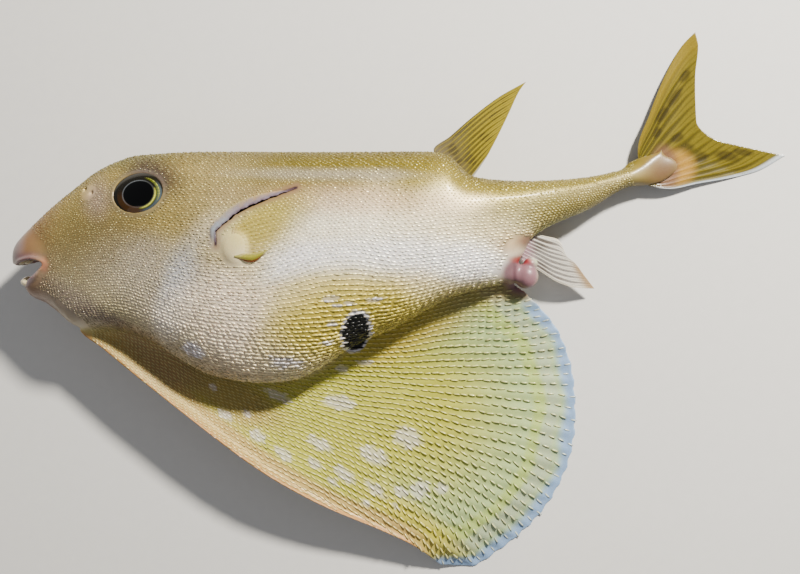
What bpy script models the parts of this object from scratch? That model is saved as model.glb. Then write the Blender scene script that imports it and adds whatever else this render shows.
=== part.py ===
"""Threetooth puffer at life size, lying on its right side with its belly flap spread out.

Sizes are in millimetres, and MM turns them to metres as each mesh is made. The snout points
to -X, the back to +Y and the left flank up, to +Z. The fish rests on the floor, Z = 0.
"""
import math

import bmesh
import bpy
import numpy as np
from mathutils import Vector

MM = 0.001
GAP = 0.3

# The body: its outline, thickness and middle, each by its place along X
BACK_LINE = ((-240.3, 34), (-238.8, 37.5), (-236.6, 41), (-231.4, 45.7), (-220, 55.3), (-205.5, 67),
             (-191.6, 76.7), (-178, 86), (-164.3, 92), (-150.8, 95.5), (-111, 97), (-16.5, 95.6),
             (32, 95.5), (42, 93.5), (58, 80.5), (85, 78), (114, 79.3), (148, 85.8), (170, 99))
BELLY_LINE = ((-240.3, 29), (-238.5, 24), (-234, 17), (-229.4, 11), (-225, 5.5), (-214, 1),
              (-201, -9), (-190, -14), (-169, -13), (-146, -20), (-126, -31), (-100, -42.5),
              (-74, -45.3), (-54, -43.5), (-38, -37), (-17, -23), (14, -8.4), (44, 8),
              (66, 14.5), (76, 17), (85, 30), (94, 45.7), (126, 61), (152, 74.8), (170, 76))
HALF_THICKNESS = ((-240.3, 3.6), (-236, 8.5), (-228, 12.5), (-215, 16.5), (-200, 20), (-180, 23.5),
                  (-150, 27.5), (-110, 32.5), (-80, 34.9), (-50, 35), (-20, 33.6), (14, 30),
                  (44, 26), (76, 18), (94, 14.5), (108, 12), (132, 9.5), (150, 7.5), (170, 1.8))
MIDPLANE = ((-240.3, 30), (-228, 32.5), (-150, 34), (-80, 34), (-40, 34), (14, 31.5), (44, 28.5),
            (76, 23), (108, 16), (132, 12), (150, 9.5), (170, 6))
WIDEST_POINT = ((-240.3, 31), (-200, 28), (-150, 34), (-74, 27), (0, 42), (44, 52), (94, 64),
                (170, 86))
SECTION_ROUNDNESS = 0.92
BODY_STATIONS = 58
STATION_CROWDING = 1.35
BODY_SIDES = 30

# The gill slit, which also parts head from trunk, and the start of the tail
GILL_SLIT = ((-89, 40), (-89.6, 47), (-84, 53), (-75.4, 60), (-62, 66), (-42.3, 73))
SLIT_WIDTH = 2.2
SLIT_DEPTH = 6
SLIT_END_SHARE = 0.3
SLIT_STEPS = 10
HEAD_BACK_ABOVE = (-36, 130)
HEAD_BACK_BELOW = (-92, -80)
TAIL_START = 80

# The mouth, open right through from side to side, its lips and its three teeth
MOUTH_CORNER = (-205.4, 27.7)
UPPER_LIP_EDGE = ((-210, 30.2), (-216.5, 31.4), (-225, 30), (-235, 27))
LOWER_LIP_EDGE = ((-210.2, 24), (-215.5, 19.8), (-221.2, 16.8), (-226.8, 12.8))
MOUTH_FRONT = -260
JAW_PARTING = ((-206, 14), (-202, -40))
PARTING_START = (-209.6, 27.1)
LIP_RADIUS = 1.6
LIP_INSET = 0.5
LIP_STEPS = 14
SNOUT_MIDDLE = 33
UPPER_BEAK = (-231.6, 30.8)
UPPER_BEAK_SIZE = (4.8, 4.2, 6.5)
LOWER_BEAK = (-228.2, 15.8)
LOWER_BEAK_SIZE = (4.8, 3.6, 7)

# Eyes, lids and nostrils
EYE_PLACE = (-141.8, 71)
EYE_SIZE = (22, 17, 10)
EYE_PROUD = 3.2
LID_OPENING = (18, 13.2)
LID_RADIUS = 2.3
LID_SUNK = 0.6
LID_STEPS = 18
NOSTRILS = ((-181, 74), (-175, 71.5))
NOSTRIL_RADIUS = 1.6
NOSTRIL_DEPTH = 3

# The belly flap: a fan from the throat, with the pelvic rod along its front margin
FLAP_THROAT = (-200, 2, 33)
ROD_LINE = (FLAP_THROAT, (-194, -15.5, 33), (-179, -26, 34), (-152, -46, 35), (-113, -74.5, 35),
            (-75, -101.5, 33), (-38, -123, 27), (-1, -140, 19), (20, -151.5, 13), (36, -166.5, 3))
FLAP_RIM = ((36, -166.5, 3), (54, -167, 0), (73, -155.5, 0), (92, -138.5, 0), (107.5, -117.5, 0),
            (117.7, -91.5, 0), (120.6, -68, 0), (119, -44, 0), (110, -15, 4), (90, 9.5, 12),
            (72, 24, 20))
FLAP_ROOT = (FLAP_THROAT, (-150, -6, 31), (-74, -22, 27), (14, 6, 24), (72, 24, 20))
ROD_HALF = 5
MEMBRANE_HALF = 1.3
FLAP_SAG = 7
FLAP_RIDGES = 23
FLAP_ROWS = 12
FLAP_FIRST_ROW = 0.06
ROD_SHARES = (0, 0.008, 0.02, 0.036)
RIDGES_FROM = 0.055
FLAP_RIDGE_HEIGHT = 0.45
RIM_NOTCH = 0.006

# Each fin: its front margin, its outer edge and its rear margin, with rays between the margins
DORSAL_FRONT = ((38, 86, 29), (33.5, 96.5, 28), (43, 104.5, 26), (55, 115.5, 22), (72, 128.5, 19),
                (88, 137.5, 17))
DORSAL_EDGE = ((88, 137.5, 17), (84, 132, 18), (78, 119, 19.5), (71.5, 105, 22), (65, 92, 25))
DORSAL_REAR = ((52, 74, 26), (59, 83, 25.5), (65, 92, 25))
ANAL_FRONT = ((88, 48, 18), (100, 45, 15), (107, 43.3, 13), (110, 40, 12))
ANAL_EDGE = ((110, 40, 12), (113, 33, 11.5), (118, 28.7, 10), (124, 20.7, 8), (130, 13, 6.5))
ANAL_REAR = ((86, 30, 18), (96, 24.5, 15.5), (109, 16.5, 12), (120, 13.4, 9), (130, 13, 6.5))
CAUDAL_FRONT = ((155, 85, 8), (154.5, 96.5, 7), (161.5, 118.8, 4.5), (170, 140.8, 2.5),
                (180, 159, 0.5), (187.5, 166.9, 0))
CAUDAL_EDGE = ((187.5, 166.9, 0), (189.4, 158, 0), (188, 140, 0), (189, 114, 1), (200, 103, 0.5),
               (214, 99, 0), (240.3, 92.7, 0))
CAUDAL_REAR = ((155, 79, 8), (163, 74.8, 6.5), (173, 73.4, 5), (191, 76.7, 2.5), (208, 79.6, 1),
               (224, 83.5, 0), (240.3, 92.7, 0))
PECTORAL_FRONT = ((-80, 42, 0), (-77, 52, 0), (-62, 61, 0), (-44, 66, 0))
PECTORAL_EDGE = ((-44, 66, 0), (-40, 56, 0), (-45, 45, 0), (-57, 36, 0))
PECTORAL_REAR = ((-76, 32, 0), (-67, 30, 0), (-57, 36, 0))
PECTORAL_LIFT = 1.5
PECTORAL_ROOT_HALF = 0.75
PECTORAL_EDGE_HALF = 0.35
PECTORAL_RAY_HEIGHT = 0.25
PECTORAL_LOBE = (-77, 38.5)
PECTORAL_LOBE_SIZE = (8.5, 9.5, 3.4)
PRESSED_DEPTH = 2.4
PRESSED_MARGIN = 1.5
LOBE_ROUND_FROM, LOBE_ROUND_STEP, LOBE_ROUND_CORNERS = 290, 32, 7
DORSAL_RAYS, ANAL_RAYS, CAUDAL_RAYS, PECTORAL_RAYS = 10, 9, 16, 8
FIN_ROWS = 7
FIN_ROOT_HALF = 1.3
FIN_EDGE_HALF = 0.3
RAY_HEIGHT = 0.35

# The vent's soft bulb, in the corner behind the belly
VENT_PLACE = (86, 23.5, 20)
VENT_SIZE = (10.5, 9.5, 8)

# Levels that are below and above the whole fish, for cuts right through it
BELOW_ALL = -20
ABOVE_ALL = 100
CREASE_ANGLE = 40

SKIN_BACK = (0.36, 0.27, 0.09)
SKIN_FLANK = (0.55, 0.48, 0.28)
SKIN_FLAP = (0.58, 0.55, 0.13)
FIN_OLIVE = (0.40, 0.33, 0.08)
FIN_PALE = (0.60, 0.57, 0.48)
FLESH_PINK = (0.72, 0.40, 0.34)
EYE_BLACK = (0.01, 0.012, 0.012)
TOOTH_CREAM = (0.75, 0.68, 0.50)


# Curves through a few points

def profile(points):
    """A smooth function of x through the points, with no overshoot between them."""
    x, y = np.array(points, float).T
    rise = np.diff(y) / np.diff(x)
    slope = np.zeros(len(x))
    slope[0], slope[-1] = rise[0], rise[-1]
    turning = rise[:-1] * rise[1:] <= 0
    safe = np.where(turning, 1, rise[:-1] + rise[1:])
    slope[1:-1] = np.where(turning, 0, 2 * rise[:-1] * rise[1:] / safe)

    def value(at):
        at = min(max(at, x[0]), x[-1])
        i = min(int(np.searchsorted(x, at, "right")) - 1, len(x) - 2)
        width = x[i + 1] - x[i]
        t = (at - x[i]) / width
        bend = slope[i] * t * (1 - t) ** 2 - slope[i + 1] * t * t * (1 - t)
        return y[i] + (y[i + 1] - y[i]) * (3 - 2 * t) * t * t + width * bend
    return value


def path(points):
    """A smooth line through the points, as a function of the share of its length, 0 to 1."""
    points = np.array(points, float)
    length = np.concatenate([[0], np.cumsum(np.linalg.norm(np.diff(points, axis=0), axis=1))])
    axes = [profile(np.stack([length / length[-1], axis], axis=1)) for axis in points.T]
    return lambda share: np.array([axis(share) for axis in axes])


def patch(front, edge, rear, shares, rows, first_row=0.0):
    """A grid of points spread smoothly between a fin's root, its two margins and its edge."""
    front_at, edge_at, rear_at = path(front), path(edge), path(rear)
    root_front, root_rear = front_at(0), rear_at(0)
    tip_front, tip_rear = front_at(1), rear_at(1)
    grid = []
    for s in shares:
        line = []
        for j in range(rows):
            t = first_row + (1 - first_row) * j / (rows - 1)
            across = (1 - s) * front_at(t) + s * rear_at(t)
            along = (1 - t) * ((1 - s) * root_front + s * root_rear) + t * edge_at(s)
            corners = (1 - t) * ((1 - s) * root_front + s * root_rear)
            corners = corners + t * ((1 - s) * tip_front + s * tip_rear)
            line.append(across + along - corners)
        grid.append(line)
    return grid


back_at = profile(BACK_LINE)
belly_at = profile(BELLY_LINE)
thickness_at = profile(HALF_THICKNESS)
midplane_at = profile(MIDPLANE)
widest_at = profile(WIDEST_POINT)


def signed_power(value, power):
    return math.copysign(abs(value) ** power, value)


def flank_point(x, y, side, proud=0.0):
    """The point of the flank over (x, y): side is 1 on the left flank and -1 on the right."""
    wide = widest_at(x)
    reach = back_at(x) - wide if y > wide else wide - belly_at(x)
    share = min(abs(y - wide) / reach, 1.0) ** (1 / SECTION_ROUNDNESS)
    out = math.sqrt(1 - share * share) ** SECTION_ROUNDNESS
    return Vector((x, y, midplane_at(x) + side * (thickness_at(x) * out + proud)))


# Making meshes

def new_object(name, mesh, collection):
    thing = bpy.data.objects.new(name, mesh)
    collection.objects.link(thing)
    if collection.name == "cutters":
        thing.hide_render = True
        thing.display_type = "WIRE"
    return thing


def closed_mesh(name, corners, faces):
    """A mesh from corners in millimetres, with its faces turned outwards."""
    mesh = bpy.data.meshes.new(name)
    mesh.from_pydata([tuple(c * MM for c in corner) for corner in corners], [], faces)
    work = bmesh.new()
    work.from_mesh(mesh)
    bmesh.ops.recalc_face_normals(work, faces=work.faces)
    work.to_mesh(mesh)
    work.free()
    return mesh


def loft(name, rings, collection):
    """A closed body through rings that all have the same number of corners."""
    count = len(rings[0])
    corners = [corner for ring in rings for corner in ring]
    faces = [tuple(range(count)), tuple(range(len(corners) - count, len(corners)))]
    for r in range(len(rings) - 1):
        for k in range(count):
            a, b = r * count + k, r * count + (k + 1) % count
            faces.append((a, b, b + count, a + count))
    return new_object(name, closed_mesh(name, corners, faces), collection)


def sheet(name, centre, half, collection):
    """A thin closed body on a grid of points, its two faces split into triangles alike.

    Where it would reach below the floor, it is laid on the floor at its full thickness.
    """
    columns, rows = len(centre), len(centre[0])
    corners = []
    for face in (1, -1):
        for line, thick in zip(centre, half):
            for (x, y, z), h in zip(line, thick):
                corners.append((x, y, max(z, h) + face * h))
    under = columns * rows
    faces = []
    for i in range(columns - 1):
        for j in range(rows - 1):
            a, b = i * rows + j, (i + 1) * rows + j
            for layer in (0, under):
                faces.append((a + layer, b + layer, b + 1 + layer))
                faces.append((a + layer, b + 1 + layer, a + 1 + layer))
    border = [i * rows for i in range(columns)]
    border += [(columns - 1) * rows + j for j in range(1, rows)]
    border += [i * rows + rows - 1 for i in range(columns - 2, -1, -1)]
    border += list(range(rows - 2, 0, -1))
    for a, b in zip(border, border[1:] + border[:1]):
        faces.append((a, b, b + under))
        faces.append((a, b + under, a + under))
    return new_object(name, closed_mesh(name, corners, faces), collection)


def ellipsoid(name, size, place, collection, segments=16, facing=(0, 0, 1)):
    mesh = bpy.data.meshes.new(name)
    work = bmesh.new()
    bmesh.ops.create_uvsphere(work, u_segments=segments, v_segments=segments // 2, radius=1)
    bmesh.ops.scale(work, vec=Vector(size) * MM, verts=work.verts)
    work.to_mesh(mesh)
    work.free()
    thing = new_object(name, mesh, collection)
    thing.location = Vector(place) * MM
    thing.rotation_euler = Vector((0, 0, 1)).rotation_difference(Vector(facing)).to_euler()
    return thing


def grown(size):
    return tuple(s + GAP for s in size)


def tube(name, points, radius, collection, closed=False):
    """A round bar along the points, drawn as a curve and turned into a closed mesh."""
    curve = bpy.data.curves.new(name, "CURVE")
    curve.dimensions = "3D"
    curve.bevel_depth = radius * MM
    curve.bevel_resolution = 1
    curve.use_fill_caps = not closed
    spline = curve.splines.new("POLY")
    spline.points.add(len(points) - 1)
    for point, corner in zip(spline.points, points):
        point.co = (*(c * MM for c in corner), 1)
    spline.use_cyclic_u = closed
    guide = new_object(name, curve, collection)
    graph = bpy.context.evaluated_depsgraph_get()
    mesh = bpy.data.meshes.new_from_object(guide.evaluated_get(graph))
    bpy.data.objects.remove(guide)
    work = bmesh.new()
    work.from_mesh(mesh)
    bmesh.ops.remove_doubles(work, verts=work.verts, dist=1e-6)
    bmesh.ops.recalc_face_normals(work, faces=work.faces)
    work.to_mesh(mesh)
    work.free()
    return new_object(name, mesh, collection)


def prism(name, outline, low, high, collection):
    """An upright block over an outline in the XY plane."""
    return loft(name, [[(x, y, z) for x, y in outline] for z in (low, high)], collection)


def thin_wall(name, line, collection):
    """An upright wall along a line in plan, as thick as the gap that it leaves."""
    line = [np.array(point, float) for point in line]
    sides = {1: [], -1: []}
    for i, point in enumerate(line):
        ahead = line[min(i + 1, len(line) - 1)] - line[max(i - 1, 0)]
        across = np.array([-ahead[1], ahead[0]]) / np.linalg.norm(ahead)
        for side, corners in sides.items():
            corners.append(tuple(point + across * side * GAP / 2))
    return prism(name, sides[1] + sides[-1][::-1], BELOW_ALL, ABOVE_ALL, collection)


def block_round(name, place, low, high, collection):
    """An upright block round a place, wide enough to cut any small piece there right across."""
    x, y = place
    around = [(x - 60, y - 60), (x + 60, y - 60), (x + 60, y + 60), (x - 60, y + 60)]
    return prism(name, around, low, high, collection)


# Joining, cutting and parting

def combine(thing, others, operation):
    """Join the others to the thing, or cut them from it, in one exact Boolean."""
    group = bpy.data.collections.new("others")
    bpy.context.scene.collection.children.link(group)
    for other in others:
        group.objects.link(other)
    step = thing.modifiers.new(operation.lower(), "BOOLEAN")
    step.operation = operation
    step.solver = "EXACT"
    step.operand_type = "COLLECTION"
    step.collection = group
    graph = bpy.context.evaluated_depsgraph_get()
    mesh = bpy.data.meshes.new_from_object(thing.evaluated_get(graph))
    thing.modifiers.clear()
    thing.data = mesh
    bpy.data.collections.remove(group)


def join(thing, pieces):
    combine(thing, pieces, "UNION")
    for piece in pieces:
        bpy.data.objects.remove(piece)


def cut(thing, cutters):
    combine(thing, cutters, "DIFFERENCE")


def volume(faces):
    return sum(f.verts[0].co.dot(f.verts[1].co.cross(f.verts[2].co)) for f in faces) / 6


def closed_surfaces(work):
    """The mesh's separate closed surfaces, as lists of faces, the largest one first."""
    left = set(work.faces)
    groups = []
    for start in work.faces:
        if start not in left:
            continue
        left.remove(start)
        group, waiting = [], [start]
        while waiting:
            face = waiting.pop()
            group.append(face)
            for edge in face.edges:
                for other in edge.link_faces:
                    if other in left:
                        left.remove(other)
                        waiting.append(other)
        groups.append(group)
    return sorted(groups, key=volume, reverse=True)


def keep_surface(thing, rank=0):
    """Keep one of the closed surfaces, by its rank in size, and drop all others."""
    work = bmesh.new()
    work.from_mesh(thing.data)
    bmesh.ops.remove_doubles(work, verts=work.verts, dist=1e-6)
    bmesh.ops.dissolve_degenerate(work, edges=work.edges, dist=1e-6)
    bmesh.ops.triangulate(work, faces=work.faces)
    groups = closed_surfaces(work)
    scraps = [face for i, group in enumerate(groups) if i != rank for face in group]
    bmesh.ops.delete(work, geom=scraps, context="FACES")
    work.to_mesh(thing.data)
    work.free()


def part_by_rank(thing, names):
    """Split a cut body into one object for each name, from the largest piece to the smallest."""
    pieces = []
    for rank, name in enumerate(names):
        piece = thing.copy()
        piece.data = thing.data.copy()
        piece.name = name
        thing.users_collection[0].objects.link(piece)
        keep_surface(piece, rank)
        pieces.append(piece)
    bpy.data.objects.remove(thing)
    return pieces


def finish_node(thing, colour, roughness):
    """Give a node one closed surface, its own material and smooth shading."""
    keep_surface(thing)
    material = bpy.data.materials.new(thing.name + "_material")
    material.use_nodes = True
    surface = material.node_tree.nodes["Principled BSDF"]
    surface.inputs["Base Color"].default_value = (*colour, 1)
    surface.inputs["Roughness"].default_value = roughness
    surface.inputs["Metallic"].default_value = 0
    thing.data.materials.clear()
    thing.data.materials.append(material)
    thing.data.shade_smooth()
    thing.data.set_sharp_from_angle(angle=math.radians(CREASE_ANGLE))


# The body

def body_ring(x, grow):
    """One section of the body; with no growth, its underside lies flat on the floor."""
    ring = []
    wide = widest_at(x)
    for k in range(BODY_SIDES):
        angle = 2 * math.pi * k / BODY_SIDES
        up = signed_power(math.sin(angle), SECTION_ROUNDNESS)
        out = signed_power(math.cos(angle), SECTION_ROUNDNESS)
        reach = (back_at(x) - wide if up > 0 else wide - belly_at(x)) + grow
        z = midplane_at(x) + (thickness_at(x) + grow) * out
        ring.append((x, wide + reach * up, z if grow else max(z, 0)))
    return ring


def body_loft(name, collection, grow=0.0):
    """The whole body in one loft, its stations closer together at the snout."""
    first, last = BACK_LINE[0][0], BACK_LINE[-1][0] + grow
    shares = [(i / (BODY_STATIONS - 1)) ** STATION_CROWDING for i in range(BODY_STATIONS)]
    rings = [body_ring(first + (last - first) * s, grow) for s in shares]
    return loft(name, rings, collection)


def lip_points(edge):
    """The line of one lip, from one corner of the mouth to the other, round the snout."""
    line = profile(sorted((MOUTH_CORNER,) + edge))
    reach = thickness_at(MOUTH_CORNER[0]) - LIP_INSET
    points = []
    for k in range(LIP_STEPS + 1):
        angle = math.pi * (k / LIP_STEPS - 0.5)
        x = MOUTH_CORNER[0] + (edge[-1][0] - MOUTH_CORNER[0]) * math.cos(angle)
        points.append((x, line(x), SNOUT_MIDDLE + reach * math.sin(angle)))
    return points


def lid_points(side):
    points = []
    for k in range(LID_STEPS):
        angle = 2 * math.pi * k / LID_STEPS
        x = EYE_PLACE[0] + LID_OPENING[0] * math.cos(angle)
        y = EYE_PLACE[1] + LID_OPENING[1] * math.sin(angle)
        points.append(flank_point(x, y, side, -LID_SUNK))
    return points


def gill_slit(side, collection):
    """The cutter for one gill slit: a thin blade that narrows to both ends."""
    line = path(GILL_SLIT)
    rings = []
    for k in range(SLIT_STEPS + 1):
        share = k / SLIT_STEPS
        x, y = line(share)
        ahead = line(min(share + 0.02, 1)) - line(max(share - 0.02, 0))
        across = np.array([-ahead[1], ahead[0]]) / np.linalg.norm(ahead)
        fullness = SLIT_END_SHARE + (1 - SLIT_END_SHARE) * math.sin(math.pi * share)
        half = SLIT_WIDTH / 2 * fullness
        deep = SLIT_DEPTH * fullness
        surface = flank_point(x, y, side).z
        ring = []
        for edge, level in ((1, 4), (-1, 4), (-1, -deep), (1, -deep)):
            shift = across * half * edge
            ring.append((x + shift[0], y + shift[1], surface + side * level))
        rings.append(ring)
    return loft("gill_slit", rings, collection)


def eye(name, side, size, collection):
    """An eyeball, a flattened ball that faces straight out of the flank."""
    x, y = EYE_PLACE
    surface = flank_point(x, y, side)
    ahead = flank_point(x + 4, y, side) - surface
    above = flank_point(x, y + 4, side) - surface
    facing = ahead.cross(above).normalized()
    place = surface - facing * side * (EYE_SIZE[2] - EYE_PROUD)
    return ellipsoid(name, size, place, collection, 22, facing)


def cut_features(body, tools):
    """Open the mouth, sink the eyes, nostrils and gill slits, and roll the lips."""
    lids = [tube("lid", lid_points(side), LID_RADIUS, tools, closed=True) for side in (1, -1)]
    join(body, lids)
    mouth = [MOUTH_CORNER, *UPPER_LIP_EDGE, (MOUTH_FRONT, UPPER_LIP_EDGE[-1][1]),
             (MOUTH_FRONT, LOWER_LIP_EDGE[-1][1]), *LOWER_LIP_EDGE[::-1]]
    cutters = [prism("mouth", mouth, BELOW_ALL, ABOVE_ALL, tools)]
    for side in (1, -1):
        cutters.append(gill_slit(side, tools))
        cutters.append(eye("eye_cup", side, grown(EYE_SIZE), tools))
        for place in NOSTRILS:
            size = (NOSTRIL_RADIUS, NOSTRIL_RADIUS, NOSTRIL_DEPTH)
            cutters.append(ellipsoid("nostril", size, flank_point(*place, side), tools, 10))
    cut(body, cutters)
    lips = [tube("lip", lip_points(edge), LIP_RADIUS, tools)
            for edge in (UPPER_LIP_EDGE, LOWER_LIP_EDGE)]
    join(body, lips)
    cut(body, [ellipsoid("upper_socket", grown(UPPER_BEAK_SIZE), (*UPPER_BEAK, SNOUT_MIDDLE), tools),
               ellipsoid("lower_socket", grown(LOWER_BEAK_SIZE), (*LOWER_BEAK, SNOUT_MIDDLE), tools),
               pressed_pocket(tools)])


def make_eyes(fish):
    for name, side in (("eye_left", 1), ("eye_right", -1)):
        finish_node(eye(name, side, EYE_SIZE, fish), EYE_BLACK, 0.08)


def make_teeth(fish, tools):
    """Two upper tooth plates that meet at the middle, and one lower plate across the jaw."""
    place = (*UPPER_BEAK, SNOUT_MIDDLE)
    upper = ellipsoid("upper_beak", UPPER_BEAK_SIZE, place, fish)
    bpy.context.view_layer.update()
    suture = block_round("suture", UPPER_BEAK, SNOUT_MIDDLE - GAP / 2, SNOUT_MIDDLE + GAP / 2, tools)
    cut(upper, [suture])
    for piece in part_by_rank(upper, ("upper_tooth_left", "upper_tooth_right")):
        finish_node(piece, TOOTH_CREAM, 0.3)
    lower = ellipsoid("lower_tooth", LOWER_BEAK_SIZE, (*LOWER_BEAK, SNOUT_MIDDLE), fish)
    finish_node(lower, TOOTH_CREAM, 0.3)


def part_body(body, tools):
    """Cut the body along thin walls into trunk, head, tail stalk and lower jaw."""
    slit = thin_wall("head_wall", (HEAD_BACK_BELOW, *GILL_SLIT, HEAD_BACK_ABOVE), tools)
    tail = thin_wall("tail_wall", ((TAIL_START, -60), (TAIL_START, 160)), tools)
    jaw = thin_wall("jaw_wall", (PARTING_START, MOUTH_CORNER, *JAW_PARTING), tools)
    cut(body, [slit, tail, jaw])
    trunk, head, stalk, lower_jaw = part_by_rank(body, ("trunk", "head", "tail_stalk", "lower_jaw"))
    finish_node(trunk, SKIN_FLANK, 0.45)
    finish_node(head, SKIN_BACK, 0.4)
    finish_node(stalk, SKIN_BACK, 0.4)
    finish_node(lower_jaw, FLESH_PINK, 0.4)


# The fins and the flap

def rayed_fin(name, front, edge, rear, rays, collection):
    """A fin with a low ridge on both faces along every ray, thinning to its edge."""
    shares = [i / (2 * rays) for i in range(2 * rays + 1)]
    centre = patch(front, edge, rear, shares, FIN_ROWS)
    half = []
    for i in range(len(shares)):
        ridge = RAY_HEIGHT if i % 2 else 0
        thick = []
        for j in range(FIN_ROWS):
            t = j / (FIN_ROWS - 1)
            web = FIN_ROOT_HALF + (FIN_EDGE_HALF - FIN_ROOT_HALF) * t**0.6
            thick.append(web + ridge * (1 - 0.7 * t))
        half.append(thick)
    return sheet(name, centre, half, collection)


def pectoral_grid():
    shares = [i / (2 * PECTORAL_RAYS) for i in range(2 * PECTORAL_RAYS + 1)]
    centre = patch(PECTORAL_FRONT, PECTORAL_EDGE, PECTORAL_REAR, shares, FIN_ROWS)
    thinning = (PECTORAL_ROOT_HALF - PECTORAL_EDGE_HALF) / (FIN_ROWS - 1)
    half = []
    for i in range(len(shares)):
        ridge = PECTORAL_RAY_HEIGHT if i % 2 else 0
        half.append([PECTORAL_ROOT_HALF - thinning * j + ridge for j in range(FIN_ROWS)])
    return centre, half


def pectoral_left(tools, fish):
    """The upper pectoral fin, laid back along the flank from its fleshy lobe."""
    centre, half = pectoral_grid()
    centre = [[flank_point(x, y, 1, PECTORAL_LIFT) for x, y, z in line] for line in centre]
    fin = sheet("pectoral_fin_left", centre, half, fish)
    place = flank_point(*PECTORAL_LOBE, 1)
    join(fin, [ellipsoid("lobe", PECTORAL_LOBE_SIZE, place, tools)])
    return fin


def pectoral_right(tools, fish):
    """The lower pectoral fin, pressed flat between the flank and the floor."""
    centre, half = pectoral_grid()
    centre = [[(x, y, 0) for x, y, z in line] for line in centre]
    fin = sheet("pectoral_fin_right", centre, half, fish)
    middle = PRESSED_DEPTH / 2
    size = (*PECTORAL_LOBE_SIZE[:2], PRESSED_DEPTH)
    lobe = ellipsoid("lobe", size, (*PECTORAL_LOBE, middle), tools)
    join(fin, [lobe])
    cut(fin, [block_round("floor", PECTORAL_LOBE, BELOW_ALL, 0, tools),
              block_round("flank", PECTORAL_LOBE, PRESSED_DEPTH, ABOVE_ALL, tools)])
    return fin


def pressed_pocket(tools):
    """The hollow that the pressed fin leaves in the lower flank, a little wider than the fin."""
    front, edge, rear = path(PECTORAL_FRONT), path(PECTORAL_EDGE), path(PECTORAL_REAR)
    line = [front(k / 6) for k in range(1, 6)] + [edge(k / 8) for k in range(9)]
    line += [rear(k / 4) for k in range(3, 0, -1)]
    for k in range(LOBE_ROUND_CORNERS):
        angle = math.radians(LOBE_ROUND_FROM - LOBE_ROUND_STEP * k)
        line.append(np.array((PECTORAL_LOBE[0] + PECTORAL_LOBE_SIZE[0] * math.cos(angle),
                              PECTORAL_LOBE[1] + PECTORAL_LOBE_SIZE[1] * math.sin(angle), 0)))
    line = np.array(line)[:, :2]
    ahead = np.roll(line, -1, axis=0) - np.roll(line, 1, axis=0)
    outward = np.stack([-ahead[:, 1], ahead[:, 0]], axis=1)
    outward /= np.linalg.norm(outward, axis=1)[:, None]
    outline = line + outward * PRESSED_MARGIN
    return prism("pressed_pocket", outline, BELOW_ALL, PRESSED_DEPTH + GAP, tools)


def flap_thickness(away, t, ridge):
    """Half the flap's thickness: the round rod at its front margin, then the membrane."""
    rod = ROD_HALF * (1 - 0.75 * t**3)
    if away < rod:
        bar = math.sqrt(1 - (1 - away / rod) ** 2)
    else:
        bar = math.exp(-(((away - rod) / rod) ** 2))
    membrane = MEMBRANE_HALF * (1 - 0.5 * t**6) * min(1, 0.4 + away / 4)
    return max(membrane, rod * bar) + ridge


def belly_flap(collection):
    """The flap as a fan of low ridges, with a toothed rim and a sagging middle."""
    even = 2 * FLAP_RIDGES
    shares = list(ROD_SHARES)
    shares += [RIDGES_FROM + (1 - RIDGES_FROM) * k / even for k in range(even + 1)]
    centre = patch(ROD_LINE, FLAP_RIM, FLAP_ROOT, shares, FLAP_ROWS, FLAP_FIRST_ROW)
    half = []
    for i, (s, line) in enumerate(zip(shares, centre)):
        ridged = i >= len(ROD_SHARES) and i % 2 == 1
        thick = []
        for j in range(FLAP_ROWS):
            t = FLAP_FIRST_ROW + (1 - FLAP_FIRST_ROW) * j / (FLAP_ROWS - 1)
            line[j][2] -= FLAP_SAG * math.sin(math.pi * s) * 4 * t * (1 - t)
            away = np.linalg.norm(line[j][:2] - centre[0][j][:2])
            thick.append(flap_thickness(away, t, FLAP_RIDGE_HEIGHT * t if ridged else 0))
        if not ridged:
            line[-1] = line[-1] + (line[0] - line[-1]) * RIM_NOTCH
        half.append(thick)
    return sheet("belly_flap", centre, half, collection)


def make_fins(body_cutter, fish, tools):
    """All fins, the flap and the vent, each cut clear of the body that it grows from."""
    vent = ellipsoid("vent", VENT_SIZE, VENT_PLACE, fish, 18)
    vent_cutter = ellipsoid("vent_cutter", grown(VENT_SIZE), VENT_PLACE, tools, 18)
    flap = belly_flap(fish)
    dorsal = rayed_fin("dorsal_fin", DORSAL_FRONT, DORSAL_EDGE, DORSAL_REAR, DORSAL_RAYS, fish)
    anal = rayed_fin("anal_fin", ANAL_FRONT, ANAL_EDGE, ANAL_REAR, ANAL_RAYS, fish)
    caudal = rayed_fin("caudal_fin", CAUDAL_FRONT, CAUDAL_EDGE, CAUDAL_REAR, CAUDAL_RAYS, fish)
    left, right = pectoral_left(tools, fish), pectoral_right(tools, fish)
    bpy.context.view_layer.update()
    for thing in (vent, dorsal, caudal, left):
        cut(thing, [body_cutter])
    for thing in (flap, anal):
        cut(thing, [body_cutter, vent_cutter])
    finish_node(vent, FLESH_PINK, 0.3)
    finish_node(flap, SKIN_FLAP, 0.4)
    finish_node(anal, FIN_PALE, 0.3)
    for thing in (dorsal, caudal, left, right):
        finish_node(thing, FIN_OLIVE, 0.3)


def build():
    for thing in list(bpy.data.objects):
        bpy.data.objects.remove(thing)
    fish = bpy.data.collections.new("threetooth_puffer")
    tools = bpy.data.collections.new("cutters")
    for group in (fish, tools):
        bpy.context.scene.collection.children.link(group)
    body = body_loft("body", fish)
    body_cutter = body_loft("body_cutter", tools, GAP)
    cut_features(body, tools)
    part_body(body, tools)
    make_eyes(fish)
    make_teeth(fish, tools)
    make_fins(body_cutter, fish, tools)


build()
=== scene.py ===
"""A threetooth puffer as a museum model, lying on its right side with its belly flap spread.

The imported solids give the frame. Sizes are in millimetres, and MM turns them to metres as each
mesh is made. The snout points to -X, the back to +Y and the left flank up, to +Z.
"""
import math

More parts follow.
